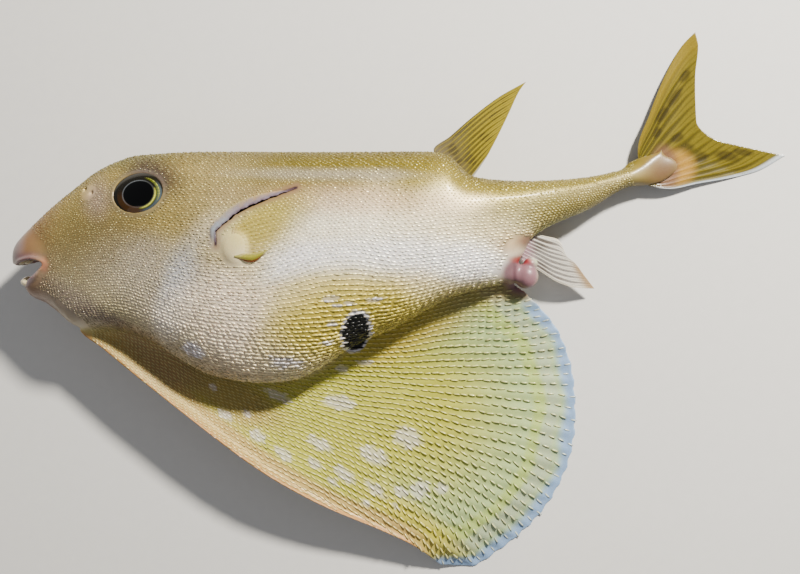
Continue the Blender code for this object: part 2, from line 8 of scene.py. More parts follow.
import bmesh
import bpy
import numpy as np
from mathutils import Matrix, Vector


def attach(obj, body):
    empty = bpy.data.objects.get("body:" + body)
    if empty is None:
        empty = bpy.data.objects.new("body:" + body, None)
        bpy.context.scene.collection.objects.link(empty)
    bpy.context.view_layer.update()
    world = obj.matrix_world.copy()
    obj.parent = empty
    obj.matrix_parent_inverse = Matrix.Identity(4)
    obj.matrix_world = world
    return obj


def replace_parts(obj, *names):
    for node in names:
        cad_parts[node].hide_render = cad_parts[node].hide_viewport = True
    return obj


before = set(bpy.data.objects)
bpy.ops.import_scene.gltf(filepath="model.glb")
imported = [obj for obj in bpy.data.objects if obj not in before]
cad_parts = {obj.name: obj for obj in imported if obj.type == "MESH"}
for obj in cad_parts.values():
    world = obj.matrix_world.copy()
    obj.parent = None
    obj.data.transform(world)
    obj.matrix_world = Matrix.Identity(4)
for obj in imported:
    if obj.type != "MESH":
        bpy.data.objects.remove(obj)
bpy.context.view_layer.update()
MM = 0.001


# The studio. A plain pale floor under one small bright lamp, set at the upper right as the sun was
# in the photo, with a weak wide lamp opposite and an even sky. The camera looks down on the fish.

CAMERA_PLACE = (100.5, 44.7, 567.7)
CAMERA_RIGHT = (0.9871, 0.0, -0.1599)
CAMERA_UP = (-0.0089, 0.9984, -0.0552)
CAMERA_BACK = (0.1597, 0.0559, 0.9856)
LENS = 40.5
FLOOR_HALF = 3000
FLOOR_COLOUR = "#D9D7D2"
KEY_DIRECTION, KEY_HEIGHT, KEY_REACH = (0.655, 0.756), 35, 1500
KEY_SIZE, KEY_POWER, KEY_COLOUR = 150, 75, "#FFFAF0"
FILL_PLACE, FILL_SIZE, FILL_POWER = (-900, -700, 1300), 1500, 3
SKY_COLOUR, SKY_STRENGTH = "#ECEEF4", 0.28


def linear(colour):
    """An sRGB hex colour as linear red, green and blue."""
    channels = [int(colour[i:i + 2], 16) / 255 for i in (1, 3, 5)]
    return np.array([c / 12.92 if c <= 0.04045 else ((c + 0.055) / 1.055) ** 2.4 for c in channels])


def node(tree, kind, inputs=None, **properties):
    """Add a node with its settings, and feed its inputs from constants or other sockets."""
    new = tree.nodes.new(kind)
    for name, value in properties.items():
        setattr(new, name, value)
    for key, value in (inputs or {}).items():
        if isinstance(value, bpy.types.NodeSocket):
            tree.links.new(value, new.inputs[key])
        else:
            new.inputs[key].default_value = value
    return new


def new_material(name, surface):
    """A material whose Principled shader has the given constants."""
    material = bpy.data.materials.new(name)
    material.use_nodes = True
    shader = material.node_tree.nodes["Principled BSDF"]
    for key, value in surface.items():
        shader.inputs[key].default_value = value
    return material, material.node_tree, shader


def multiply_into(tree, shader, colour, factor):
    """Give the shader the colour times a grey factor."""
    mixed = node(tree, "ShaderNodeMix", {0: 1.0, 6: colour, 7: factor},
                 data_type="RGBA", blend_type="MULTIPLY")
    tree.links.new(mixed.outputs[2], shader.inputs["Base Color"])


def new_object(name, mesh):
    thing = bpy.data.objects.new(name, mesh)
    bpy.context.scene.collection.objects.link(thing)
    return thing


def lamp(name, place, size, power, colour):
    data = bpy.data.lights.new(name, "AREA")
    data.shape = "DISK"
    data.size = size * MM
    data.energy = power
    data.color = linear(colour)
    thing = new_object(name, data)
    thing.location = Vector(place) * MM
    thing.rotation_euler = Vector(place).to_track_quat("Z", "Y").to_euler()


camera_data = bpy.data.cameras.new("camera")
camera_data.lens = LENS
camera_data.sensor_width = 36
camera_data.sensor_fit = "HORIZONTAL"
camera = new_object("camera", camera_data)
axes = Matrix((CAMERA_RIGHT, CAMERA_UP, CAMERA_BACK)).transposed().to_4x4()
camera.matrix_world = Matrix.Translation(Vector(CAMERA_PLACE) * MM) @ axes
bpy.context.scene.camera = camera

key_out = math.cos(math.radians(KEY_HEIGHT)) * KEY_REACH
key_place = (KEY_DIRECTION[0] * key_out, KEY_DIRECTION[1] * key_out,
             math.sin(math.radians(KEY_HEIGHT)) * KEY_REACH)
lamp("key_lamp", key_place, KEY_SIZE, KEY_POWER, KEY_COLOUR)
lamp("fill_lamp", FILL_PLACE, FILL_SIZE, FILL_POWER, SKY_COLOUR)
sky = bpy.data.worlds.new("sky")
sky.use_nodes = True
sky.node_tree.nodes["Background"].inputs["Color"].default_value = (*linear(SKY_COLOUR), 1)
sky.node_tree.nodes["Background"].inputs["Strength"].default_value = SKY_STRENGTH
bpy.context.scene.world = sky

floor_mesh = bpy.data.meshes.new("floor")
reach = FLOOR_HALF * MM
floor_mesh.from_pydata([(-reach, -reach, 0), (reach, -reach, 0), (reach, reach, 0), (-reach, reach, 0)],
                       [], [(0, 1, 2, 3)])
floor = new_object("floor", floor_mesh)
floor_material, tree, shader = new_material("matt_paper", {"Roughness": 0.8})
grain = node(tree, "ShaderNodeTexNoise", {"Scale": 900.0, "Detail": 2.0})
tint = node(tree, "ShaderNodeMapRange", {0: grain.outputs[0], 3: 0.97, 4: 1.03})
multiply_into(tree, shader, (*linear(FLOOR_COLOUR), 1), tint.outputs[0])
floor_mesh.materials.append(floor_material)


# The skin. A real fish's skin is one wet elastic sheet over the flesh, from the lips to the root
# of the tail and out over the belly flap. It is modelled as one closed surface: the body through
# its sections, the flap, lids, lips and vent, all fused and smoothed, with the sockets cut first.

BACK_LINE = ((-240.3, 34), (-238.8, 37.5), (-236.6, 41), (-231.4, 45.7), (-220, 55.3), (-205.5, 67),
             (-191.6, 76.7), (-178, 86), (-164.3, 92), (-150.8, 95.5), (-111, 97), (-16.5, 95.6),
             (32, 95.5), (42, 93.5), (58, 80.5), (85, 78), (114, 79.3), (148, 85.8), (170, 99))
BELLY_LINE = ((-240.3, 29), (-238.5, 24), (-234, 17), (-229.4, 11), (-225, 5.5), (-214, 1),
              (-201, -9), (-190, -14), (-169, -13), (-146, -20), (-126, -31), (-100, -42.5),
              (-74, -45.3), (-54, -43.5), (-38, -37), (-17, -23), (14, -8.4), (44, 8),
              (66, 14.5), (76, 17), (85, 30), (94, 45.7), (126, 61), (152, 74.8), (170, 76))
HALF_THICKNESS = ((-240.3, 3.6), (-236, 8.5), (-228, 12.5), (-215, 16.5), (-200, 20), (-180, 23.5),
                  (-150, 27.5), (-110, 32.5), (-80, 34.9), (-50, 35), (-20, 33.6), (14, 30),
                  (44, 26), (76, 18), (94, 14.5), (108, 12), (132, 9.5), (150, 7.5), (170, 1.8))
MIDPLANE = ((-240.3, 30), (-228, 32.5), (-150, 34), (-80, 34), (-40, 34), (14, 31.5), (44, 28.5),
            (76, 23), (108, 16), (132, 12), (150, 9.5), (170, 6))
WIDEST_POINT = ((-240.3, 31), (-200, 28), (-150, 34), (-74, 27), (0, 42), (44, 52), (94, 64),
                (170, 86))
SECTION_ROUNDNESS = 0.92
BODY_STATIONS, BODY_SIDES, CROWDING = 190, 110, 1.35
GILL_SLIT = ((-89, 40), (-89.6, 47), (-84, 53), (-75.4, 60), (-62, 66), (-42.3, 73))
SLIT_WIDTH, SLIT_DEPTH = 1.9, 5
MOUTH_CORNER = (-205.4, 27.7)
UPPER_LIP_EDGE = ((-210, 30.2), (-216.5, 31.4), (-225, 30), (-235, 27))
LOWER_LIP_EDGE = ((-210.2, 24), (-215.5, 19.8), (-221.2, 16.8), (-226.8, 12.8))
MOUTH_FRONT = -260
LIP_RADIUS, SNOUT_MIDDLE = 1.5, 33
EYE_PLACE = (-141.8, 71)
SOCKET = (16.4, 11.8, 9.5)
LID_OPENING, LID_RADIUS = (17.2, 12.6), 1.2
NOSTRILS, NOSTRIL_RADIUS = ((-181, 74), (-175, 71.5)), 1.5
FLAP_THROAT = (-200, 2, 33)
ROD_LINE = (FLAP_THROAT, (-194, -15.5, 33), (-179, -26, 34), (-152, -46, 35), (-113, -74.5, 35),
            (-75, -101.5, 33), (-38, -123, 27), (-1, -140, 19), (20, -151.5, 13), (36, -166.5, 3))
FLAP_RIM = ((36, -166.5, 3), (54, -167, 0), (73, -155.5, 0), (92, -138.5, 0), (107.5, -117.5, 0),
            (117.7, -91.5, 0), (120.6, -68, 0), (119, -44, 0), (110, -15, 4), (90, 9.5, 12),
            (72, 24, 20))
FLAP_ROOT = (FLAP_THROAT, (-150, -6, 31), (-74, -22, 27), (14, 6, 24), (72, 24, 20))
ROD_HALF, MEMBRANE_HALF, RIM_HALF = 5, 1.3, 0.75
FLAP_SAG, FLAP_FOLDS, FOLD_HEIGHT, RIM_NOTCH = 7, 23, 0.35, 0.003
FLAP_COLUMNS, FLAP_ROWS = 260, 130
VENT_LOBES = (((88.8, 20.8, 19.5), (7.8, 7.9, 7)), ((79.4, 24, 21), (4.6, 8.8, 6.6)),
              ((91.5, 28.5, 19), (4.6, 4, 4.6)))
PRESSED_DEPTH, PRESSED_MARGIN = 2.4, 1.5
PECTORAL_LOBE, PECTORAL_LOBE_SIZE = (-77, 38.5), (8.5, 9.5, 3.4)
PALM_SIZE = (8.6, 10.0, 2.7)
PECTORAL_FRONT = ((-80, 42, 0), (-77, 52, 0), (-62, 61, 0), (-44, 66, 0))
PECTORAL_EDGE = ((-44, 66, 0), (-40, 56, 0), (-45, 45, 0), (-57, 36, 0))
PECTORAL_REAR = ((-76, 32, 0), (-67, 30, 0), (-57, 36, 0))
TAIL_BASE = (18, 10, 2.7), (161, 84.5, 7.6), (0.97, 0.2, -0.14, -0.2, 0.98, 0, 0.14, 0, 1)
DORSAL_BASE = (13.5, 3, 2.6), (46, 86, 27.5), (0.7, -0.7, 0, 0.7, 0.7, 0, 0, 0, 1)
FAR_BELOW, FAR_ABOVE = -20, 100
VOXEL, EVENING_ROUNDS, EVENING_BACK = 0.9, 5, 0.51
COAT_DEPTH, FLOOR_GAP = 0.35, 0.05


def profile(points):
    """A smooth function of x through the points, with no overshoot between them."""
    x, y = np.array(points, float).T
    rise = np.diff(y) / np.diff(x)
    slope = np.zeros(len(x))
    slope[0], slope[-1] = rise[0], rise[-1]
    turning = rise[:-1] * rise[1:] <= 0
    safe = np.where(turning, 1, rise[:-1] + rise[1:])
    slope[1:-1] = np.where(turning, 0, 2 * rise[:-1] * rise[1:] / safe)

    def value(at):
        at = np.clip(at, x[0], x[-1])
        i = np.clip(np.searchsorted(x, at, "right") - 1, 0, len(x) - 2)
        width = x[i + 1] - x[i]
        t = (at - x[i]) / width
        bend = slope[i] * t * (1 - t) ** 2 - slope[i + 1] * t * t * (1 - t)
        return y[i] + (y[i + 1] - y[i]) * (3 - 2 * t) * t * t + width * bend
    return value


def path(points):
    """A smooth line through the points, as a function of the share of its length, 0 to 1."""
    points = np.array(points, float)
    length = np.concatenate([[0], np.cumsum(np.linalg.norm(np.diff(points, axis=0), axis=1))])
    lines = [profile(np.stack([length / length[-1], axis], axis=1)) for axis in points.T]
    return lambda share: np.stack([line(np.asarray(share, float)) for line in lines], axis=-1)


def patch(front, edge, rear, s, t):
    """Points spread smoothly between a root, two margins and an edge, in a grid of s by t."""
    front_at, edge_at, rear_at = path(front), path(edge), path(rear)
    s, t = np.asarray(s)[:, None], np.asarray(t)[None, :]
    across = (1 - s)[..., None] * front_at(t) + s[..., None] * rear_at(t)
    tips = (1 - s)[..., None] * front_at(1) + s[..., None] * rear_at(1)
    return across + t[..., None] * (edge_at(s) - tips)


def soft(value, low, high):
    """Rises smoothly from 0 at low to 1 at high."""
    t = np.clip((np.asarray(value, float) - low) / (high - low), 0, 1)
    return t * t * (3 - 2 * t)


back_at, belly_at, thickness_at = profile(BACK_LINE), profile(BELLY_LINE), profile(HALF_THICKNESS)
midplane_at, widest_at = profile(MIDPLANE), profile(WIDEST_POINT)


def flank_point(x, y, side, proud=0.0):
    """The point of the flank over (x, y): side is 1 on the left flank and -1 on the right."""
    wide = widest_at(x)
    span = np.where(y > wide, back_at(x) - wide, wide - belly_at(x))
    share = np.clip(np.abs(y - wide) / span, 0, 1) ** (1 / SECTION_ROUNDNESS)
    out = np.sqrt(1 - share * share) ** SECTION_ROUNDNESS
    z = midplane_at(x) + side * (thickness_at(x) * out + proud)
    return np.stack(np.broadcast_arrays(x, y, z), axis=-1)


def flank_axes(x, y, side):
    """The flank's own axes at a point: along the body, up the flank and straight out."""
    ahead = flank_point(x + 1.0, y, side) - flank_point(x - 1.0, y, side)
    upward = flank_point(x, y + 1.0, side) - flank_point(x, y - 1.0, side)
    out = np.cross(ahead, upward) * side
    out /= np.linalg.norm(out)
    ahead /= np.linalg.norm(ahead)
    return ahead, np.cross(out, ahead) * side, out


def solid(corners, faces):
    """A closed mesh with its faces turned outwards."""
    mesh = bpy.data.meshes.new("solid")
    mesh.from_pydata([tuple(corner) for corner in corners], [], faces)
    work = bmesh.new()
    work.from_mesh(mesh)
    bmesh.ops.recalc_face_normals(work, faces=work.faces)
    work.to_mesh(mesh)
    work.free()
    return new_object("solid", mesh)


def loft(rings):
    """A closed body through rings of as many corners each, in order."""
    rings = np.asarray(rings)
    rows, count = rings.shape[:2]
    r, k = np.meshgrid(np.arange(rows - 1), np.arange(count), indexing="ij")
    a, b = r * count + k, r * count + (k + 1) % count
    faces = np.stack([a, b, b + count, a + count], axis=-1).reshape(-1, 4).tolist()
    faces += [list(range(count)), list(range((rows - 1) * count, rows * count))]
    return solid(rings.reshape(-1, 3), faces)


def sheet_faces(columns, rows):
    """The triangles of a thin closed body whose two faces are grids of columns by rows."""
    i, j = np.meshgrid(np.arange(columns - 1), np.arange(rows - 1), indexing="ij")
    a, b = (i * rows + j).ravel(), ((i + 1) * rows + j).ravel()
    upper = np.concatenate([np.stack([a, b, b + 1], 1), np.stack([a, b + 1, a + 1], 1)])
    under = columns * rows
    border = np.concatenate([np.arange(columns) * rows, (columns - 1) * rows + np.arange(1, rows),
                             np.arange(columns - 2, -1, -1) * rows + rows - 1,
                             np.arange(rows - 2, 0, -1)])
    following = np.roll(border, -1)
    side = np.concatenate([np.stack([border, border + under, following + under], 1),
                           np.stack([border, following + under, following], 1)])
    return np.concatenate([upper, upper[:, ::-1] + under, side])


def sheet_points(centre, half):
    """Both faces of a thin body on a grid of points, laid on the floor where it would sink in."""
    level = np.maximum(centre[..., 2], half)
    top, low = centre.copy(), centre.copy()
    top[..., 2], low[..., 2] = level + half, level - half
    return np.concatenate([top.reshape(-1, 3), low.reshape(-1, 3)])


def ball(size, place, columns=(1, 0, 0, 0, 1, 0, 0, 0, 1), segments=32):
    """An ellipsoid with its three half sizes along the given axes."""
    angle = np.arange(segments) * 2 * math.pi / segments
    tilt = (np.arange(segments // 2 - 1) + 1) * 2 * math.pi / segments
    rings = np.stack([np.outer(np.sin(tilt), np.cos(angle)), np.outer(np.sin(tilt), np.sin(angle)),
                      np.outer(np.cos(tilt), np.ones(segments))], axis=-1)
    rows = np.array(columns, float).reshape(3, 3)
    return loft(np.array(place) + (rings * np.array(size)) @ rows)


def bar(points, radius, closed=False):
    """A round bar along the points."""
    curve = bpy.data.curves.new("bar", "CURVE")
    curve.dimensions = "3D"
    curve.bevel_depth = radius
    curve.bevel_resolution = 3
    curve.use_fill_caps = not closed
    spline = curve.splines.new("POLY")
    spline.points.add(len(points) - 1)
    for point, corner in zip(spline.points, points):
        point.co = (*corner, 1)
    spline.use_cyclic_u = closed
    guide = new_object("bar", curve)
    mesh = bpy.data.meshes.new_from_object(guide.evaluated_get(bpy.context.evaluated_depsgraph_get()))
    bpy.data.objects.remove(guide)
    work = bmesh.new()
    work.from_mesh(mesh)
    bmesh.ops.remove_doubles(work, verts=work.verts, dist=1e-4)
    bmesh.ops.recalc_face_normals(work, faces=work.faces)
    work.to_mesh(mesh)
    work.free()
    return new_object("bar", mesh)


def cut(thing, cutters):
    """Cut the cutters away from the thing, in one exact Boolean."""
    group = bpy.data.collections.new("cutters")
    bpy.context.scene.collection.children.link(group)
    for cutter in cutters:
        group.objects.link(cutter)
    step = thing.modifiers.new("cut", "BOOLEAN")
    step.operand_type = "COLLECTION"
    step.collection = group
    step.solver = "EXACT"
    mesh = bpy.data.meshes.new_from_object(thing.evaluated_get(bpy.context.evaluated_depsgraph_get()))
    thing.modifiers.clear()
    thing.data = mesh
    bpy.data.collections.remove(group)


def body_solid():
    """The body through its sections, flat where it lies on the floor."""
    first, last = BACK_LINE[0][0], BACK_LINE[-1][0]
    x = (first + (last - first) * np.linspace(0, 1, BODY_STATIONS) ** CROWDING)[:, None]
    angle = np.arange(BODY_SIDES) * 2 * math.pi / BODY_SIDES
    up = np.sign(np.sin(angle)) * np.abs(np.sin(angle)) ** SECTION_ROUNDNESS
    out = np.sign(np.cos(angle)) * np.abs(np.cos(angle)) ** SECTION_ROUNDNESS
    wide = widest_at(x)
    y = wide + np.where(up > 0, back_at(x) - wide, wide - belly_at(x)) * up
    z = np.maximum(midplane_at(x) + thickness_at(x) * out, 0)
    return loft(np.stack(np.broadcast_arrays(x, y, z), axis=-1))


def flap_solid():
    """The flap as a fan of low folds: the rod at its front, then the membrane out to its rim."""
    s = np.linspace(0, 1, FLAP_COLUMNS) ** CROWDING
    t = np.linspace(0.06, 1, FLAP_ROWS)
    centre = patch(ROD_LINE, FLAP_RIM, FLAP_ROOT, s, t)
    s, t = s[:, None], t[None, :]
    centre[..., 2] -= FLAP_SAG * np.sin(math.pi * s) * 4 * t * (1 - t)
    fold = np.cos(2 * math.pi * FLAP_FOLDS * s) * soft(s, 0.04, 0.1)
    centre[..., 2] += FOLD_HEIGHT * fold * t * t
    throat = np.array(FLAP_THROAT, float)
    centre += (throat - centre) * (RIM_NOTCH * (0.5 - 0.5 * fold) * t ** 12)[..., None]
    away = np.linalg.norm(centre[..., :2] - centre[:1, :, :2], axis=-1)
    rod = ROD_HALF * (1 - 0.75 * t ** 3)
    inside = np.sqrt(np.clip(1 - (1 - away / rod) ** 2, 0, 1))
    bar_share = np.where(away < rod, inside, np.exp(-(((away - rod) / rod) ** 2)))
    membrane = np.maximum(MEMBRANE_HALF * (1 - 0.5 * t ** 6) * np.minimum(1, 0.4 + away / 4), RIM_HALF)
    points = sheet_points(centre, np.maximum(membrane, rod * bar_share))
    return solid(points, sheet_faces(FLAP_COLUMNS, FLAP_ROWS).tolist())


def lip(edge):
    """One lip, from one corner of the mouth to the other, round the snout."""
    angle = np.linspace(-math.pi / 2, math.pi / 2, 25)
    x = MOUTH_CORNER[0] + (edge[-1][0] - MOUTH_CORNER[0]) * np.cos(angle)
    y = profile(sorted((MOUTH_CORNER,) + edge))(x)
    z = SNOUT_MIDDLE + (thickness_at(MOUTH_CORNER[0]) - 0.5) * np.sin(angle)
    return bar(np.stack([x, y, z], axis=1), LIP_RADIUS)


def gill_slit(side):
    """The cutter for one gill slit: a thin blade that narrows to both ends."""
    line = path(GILL_SLIT)
    share = np.linspace(0, 1, 25)
    place = line(share)
    ahead = line(np.minimum(share + 0.02, 1)) - line(np.maximum(share - 0.02, 0))
    across = np.stack([-ahead[:, 1], ahead[:, 0]], 1) / np.linalg.norm(ahead, axis=1)[:, None]
    wave = (0.3 + 0.7 * np.sin(math.pi * share))[:, None]
    rings = []
    for edge, level in ((1, 4), (-1, 4), (-1, -SLIT_DEPTH), (1, -SLIT_DEPTH)):
        shifted = place + across * SLIT_WIDTH / 2 * edge * wave
        z = flank_point(place[:, 0], place[:, 1], side)[:, 2] + side * level
        rings.append(np.column_stack([shifted, z]))
    return loft(np.stack(rings, axis=1))


def prism(outline, low, high):
    return loft([[(x, y, z) for x, y in outline] for z in (low, high)])


def pressed_outline():
    """The outline of the pressed right pectoral fin, with a little room round it."""
    front, edge, rear = path(PECTORAL_FRONT), path(PECTORAL_EDGE), path(PECTORAL_REAR)
    line = [front(k / 6) for k in range(1, 6)] + [edge(k / 8) for k in range(9)]
    line += [rear(k / 4) for k in range(3, 0, -1)]
    for k in range(7):
        angle = math.radians(290 - 32 * k)
        line.append(np.array((PECTORAL_LOBE[0] + PECTORAL_LOBE_SIZE[0] * math.cos(angle),
                              PECTORAL_LOBE[1] + PECTORAL_LOBE_SIZE[1] * math.sin(angle), 0)))
    line = np.array(line)[:, :2]
    ahead = np.roll(line, -1, axis=0) - np.roll(line, 1, axis=0)
    outward = np.stack([-ahead[:, 1], ahead[:, 0]], axis=1)
    return line + outward / np.linalg.norm(outward, axis=1)[:, None] * PRESSED_MARGIN


def fused(things, voxel):
    """One closed surface round all the things, as a mesh of even small faces."""
    work = bmesh.new()
    for thing in things:
        work.from_mesh(thing.data)
        bpy.data.objects.remove(thing)
    mesh = bpy.data.meshes.new("fused")
    work.to_mesh(mesh)
    work.free()
    whole = new_object("fused", mesh)
    step = whole.modifiers.new("voxels", "REMESH")
    step.mode = "VOXEL"
    step.voxel_size = voxel
    result = bpy.data.meshes.new_from_object(whole.evaluated_get(bpy.context.evaluated_depsgraph_get()))
    bpy.data.objects.remove(whole)
    return result


def read(mesh):
    """The mesh's points, edges and triangles as arrays."""
    points = np.empty(len(mesh.vertices) * 3, np.float32)
    mesh.vertices.foreach_get("co", points)
    edges = np.empty(len(mesh.edges) * 2, np.int32)
    mesh.edges.foreach_get("vertices", edges)
    mesh.calc_loop_triangles()
    triangles = np.empty(len(mesh.loop_triangles) * 3, np.int32)
    mesh.loop_triangles.foreach_get("vertices", triangles)
    return points.reshape(-1, 3).astype(float), edges.reshape(-1, 2), triangles.reshape(-1, 3)


def smooth(points, edges, weight, rounds, back=0.0):
    """Even the points out by their neighbours' mean; back undoes the shrinking."""
    count = len(points)
    a, b = edges.T
    neighbours = np.bincount(a, minlength=count) + np.bincount(b, minlength=count)
    moving = (weight[a] > 0) | (weight[b] > 0)
    a, b = a[moving], b[moving]
    for k in range(rounds):
        for step in (0.5, -back):
            if step == 0:
                continue
            total = np.empty_like(points)
            for axis in range(3):
                value = points[:, axis]
                total[:, axis] = (np.bincount(a, value[b], count) + np.bincount(b, value[a], count))
            points = points + step * weight[:, None] * (total / neighbours[:, None] - points)
    return points


def normals_of(points, triangles):
    a, b, c = points[triangles[:, 0]], points[triangles[:, 1]], points[triangles[:, 2]]
    face = np.cross(b - a, c - a)
    total = np.zeros_like(points)
    for corner in range(3):
        for axis in range(3):
            total[:, axis] += np.bincount(triangles[:, corner], face[:, axis], len(points))
    return total / np.maximum(np.linalg.norm(total, axis=1), 1e-12)[:, None]


def socket_axes(side):
    return np.concatenate(flank_axes(*EYE_PLACE, side))


body = body_solid()
mouth = [MOUTH_CORNER, *UPPER_LIP_EDGE, (MOUTH_FRONT, UPPER_LIP_EDGE[-1][1]),
         (MOUTH_FRONT, LOWER_LIP_EDGE[-1][1]), *LOWER_LIP_EDGE[::-1]]
cutters = [prism(mouth, FAR_BELOW, FAR_ABOVE), prism(pressed_outline(), FAR_BELOW, PRESSED_DEPTH + 0.3)]
lids = []
for side in (1, -1):
    sockets = [ball(SOCKET, flank_point(*EYE_PLACE, side), socket_axes(side)) for _ in range(2)]
    angle = np.arange(40) * 2 * math.pi / 40
    ring = flank_point(EYE_PLACE[0] + LID_OPENING[0] * np.cos(angle),
                       EYE_PLACE[1] + LID_OPENING[1] * np.sin(angle), side, -0.7)
    lid = bar(ring, LID_RADIUS, closed=True)
    cut(lid, sockets[:1])
    lids.append(lid)
    cutters += [sockets[1], gill_slit(side)]
    bpy.data.objects.remove(sockets[0])
    for place in NOSTRILS:
        cutters.append(ball((NOSTRIL_RADIUS, NOSTRIL_RADIUS, 3), flank_point(*place, side), segments=12))
cut(body, cutters)
for cutter in cutters:
    bpy.data.objects.remove(cutter)
palm_axes = np.concatenate(flank_axes(*PECTORAL_LOBE, 1))
parts = [body, flap_solid(), lip(UPPER_LIP_EDGE), lip(LOWER_LIP_EDGE), *lids, ball(*TAIL_BASE),
         ball(*DORSAL_BASE), ball(PALM_SIZE, flank_point(*PECTORAL_LOBE, 1), palm_axes)]
parts += [ball(size, place) for place, size in VENT_LOBES]
skin_mesh = fused(parts, VOXEL)
points, edges, triangles = read(skin_mesh)
points = smooth(points, edges, np.ones(len(points)), EVENING_ROUNDS, EVENING_BACK)

# Soft flesh runs smoothly into the breast fin's palm, the back fin's root and the tail's root
PALM_LEVEL, PALM_SHARE, PALM_REACH = 40, 0.7, (11, 15)
TAIL_START, TAIL_END = (140, 150), (172, 180)
DORSAL_ROOT, DORSAL_REACH, FLESH_ROUNDS = (48, 84), (16, 26), 25
x, y, z = points.T
palm_far = np.hypot(x - PECTORAL_LOBE[0], y - PECTORAL_LOBE[1])
fleshy = (z > PALM_LEVEL) * PALM_SHARE * (1 - soft(palm_far, *PALM_REACH))
fleshy += soft(x, *TAIL_START) * (1 - soft(x, *TAIL_END))
fleshy += 1 - soft(np.hypot(x - DORSAL_ROOT[0], y - DORSAL_ROOT[1]), *DORSAL_REACH)
points = smooth(points, edges, np.clip(fleshy, 0, 1), FLESH_ROUNDS)

# Where the belly runs out into the flap, the skin bridges the corner in a shallow hollow
VALLEY_START, VALLEY_END, VALLEY_DROP, VALLEY_REACH, VALLEY_ROUNDS = (-48, -22), (78, 90), 4, 20, 130
x, y, z = points.T
valley = soft(x, *VALLEY_START) * (1 - soft(x, *VALLEY_END))
valley *= 1 - soft(np.abs(y - belly_at(x) + VALLEY_DROP), VALLEY_REACH * 0.4, VALLEY_REACH)
valley *= normals_of(points, triangles)[:, 2] > 0.05
points = smooth(points, edges, valley, VALLEY_ROUNDS)

# The throat runs out into the flap's rod in the same way, and the rod itself stays as it is
THROAT_START, THROAT_END, THROAT_DROP, THROAT_REACH = (118, 150), (200, 212), 7, (12, 22)
ROD_FREE, THROAT_LEVEL, THROAT_ROUNDS = (2, 7), 14, 260
rod_line = path(ROD_LINE)(np.linspace(0, 0.6, 60))
rod_far = np.min([np.hypot(x - place[0], y - place[1]) for place in rod_line], axis=0)
throat = soft(-x, *THROAT_START) * (1 - soft(-x, *THROAT_END))
throat *= 1 - soft(np.abs(y - belly_at(x) + THROAT_DROP), *THROAT_REACH)
throat *= soft(rod_far, *ROD_FREE) * (z > THROAT_LEVEL)
points = smooth(points, edges, throat, THROAT_ROUNDS)
normals = normals_of(points, triangles)
points = points - normals * COAT_DEPTH
points[:, 2] = np.maximum(points[:, 2], FLOOR_GAP)
normals = normals_of(points, triangles)
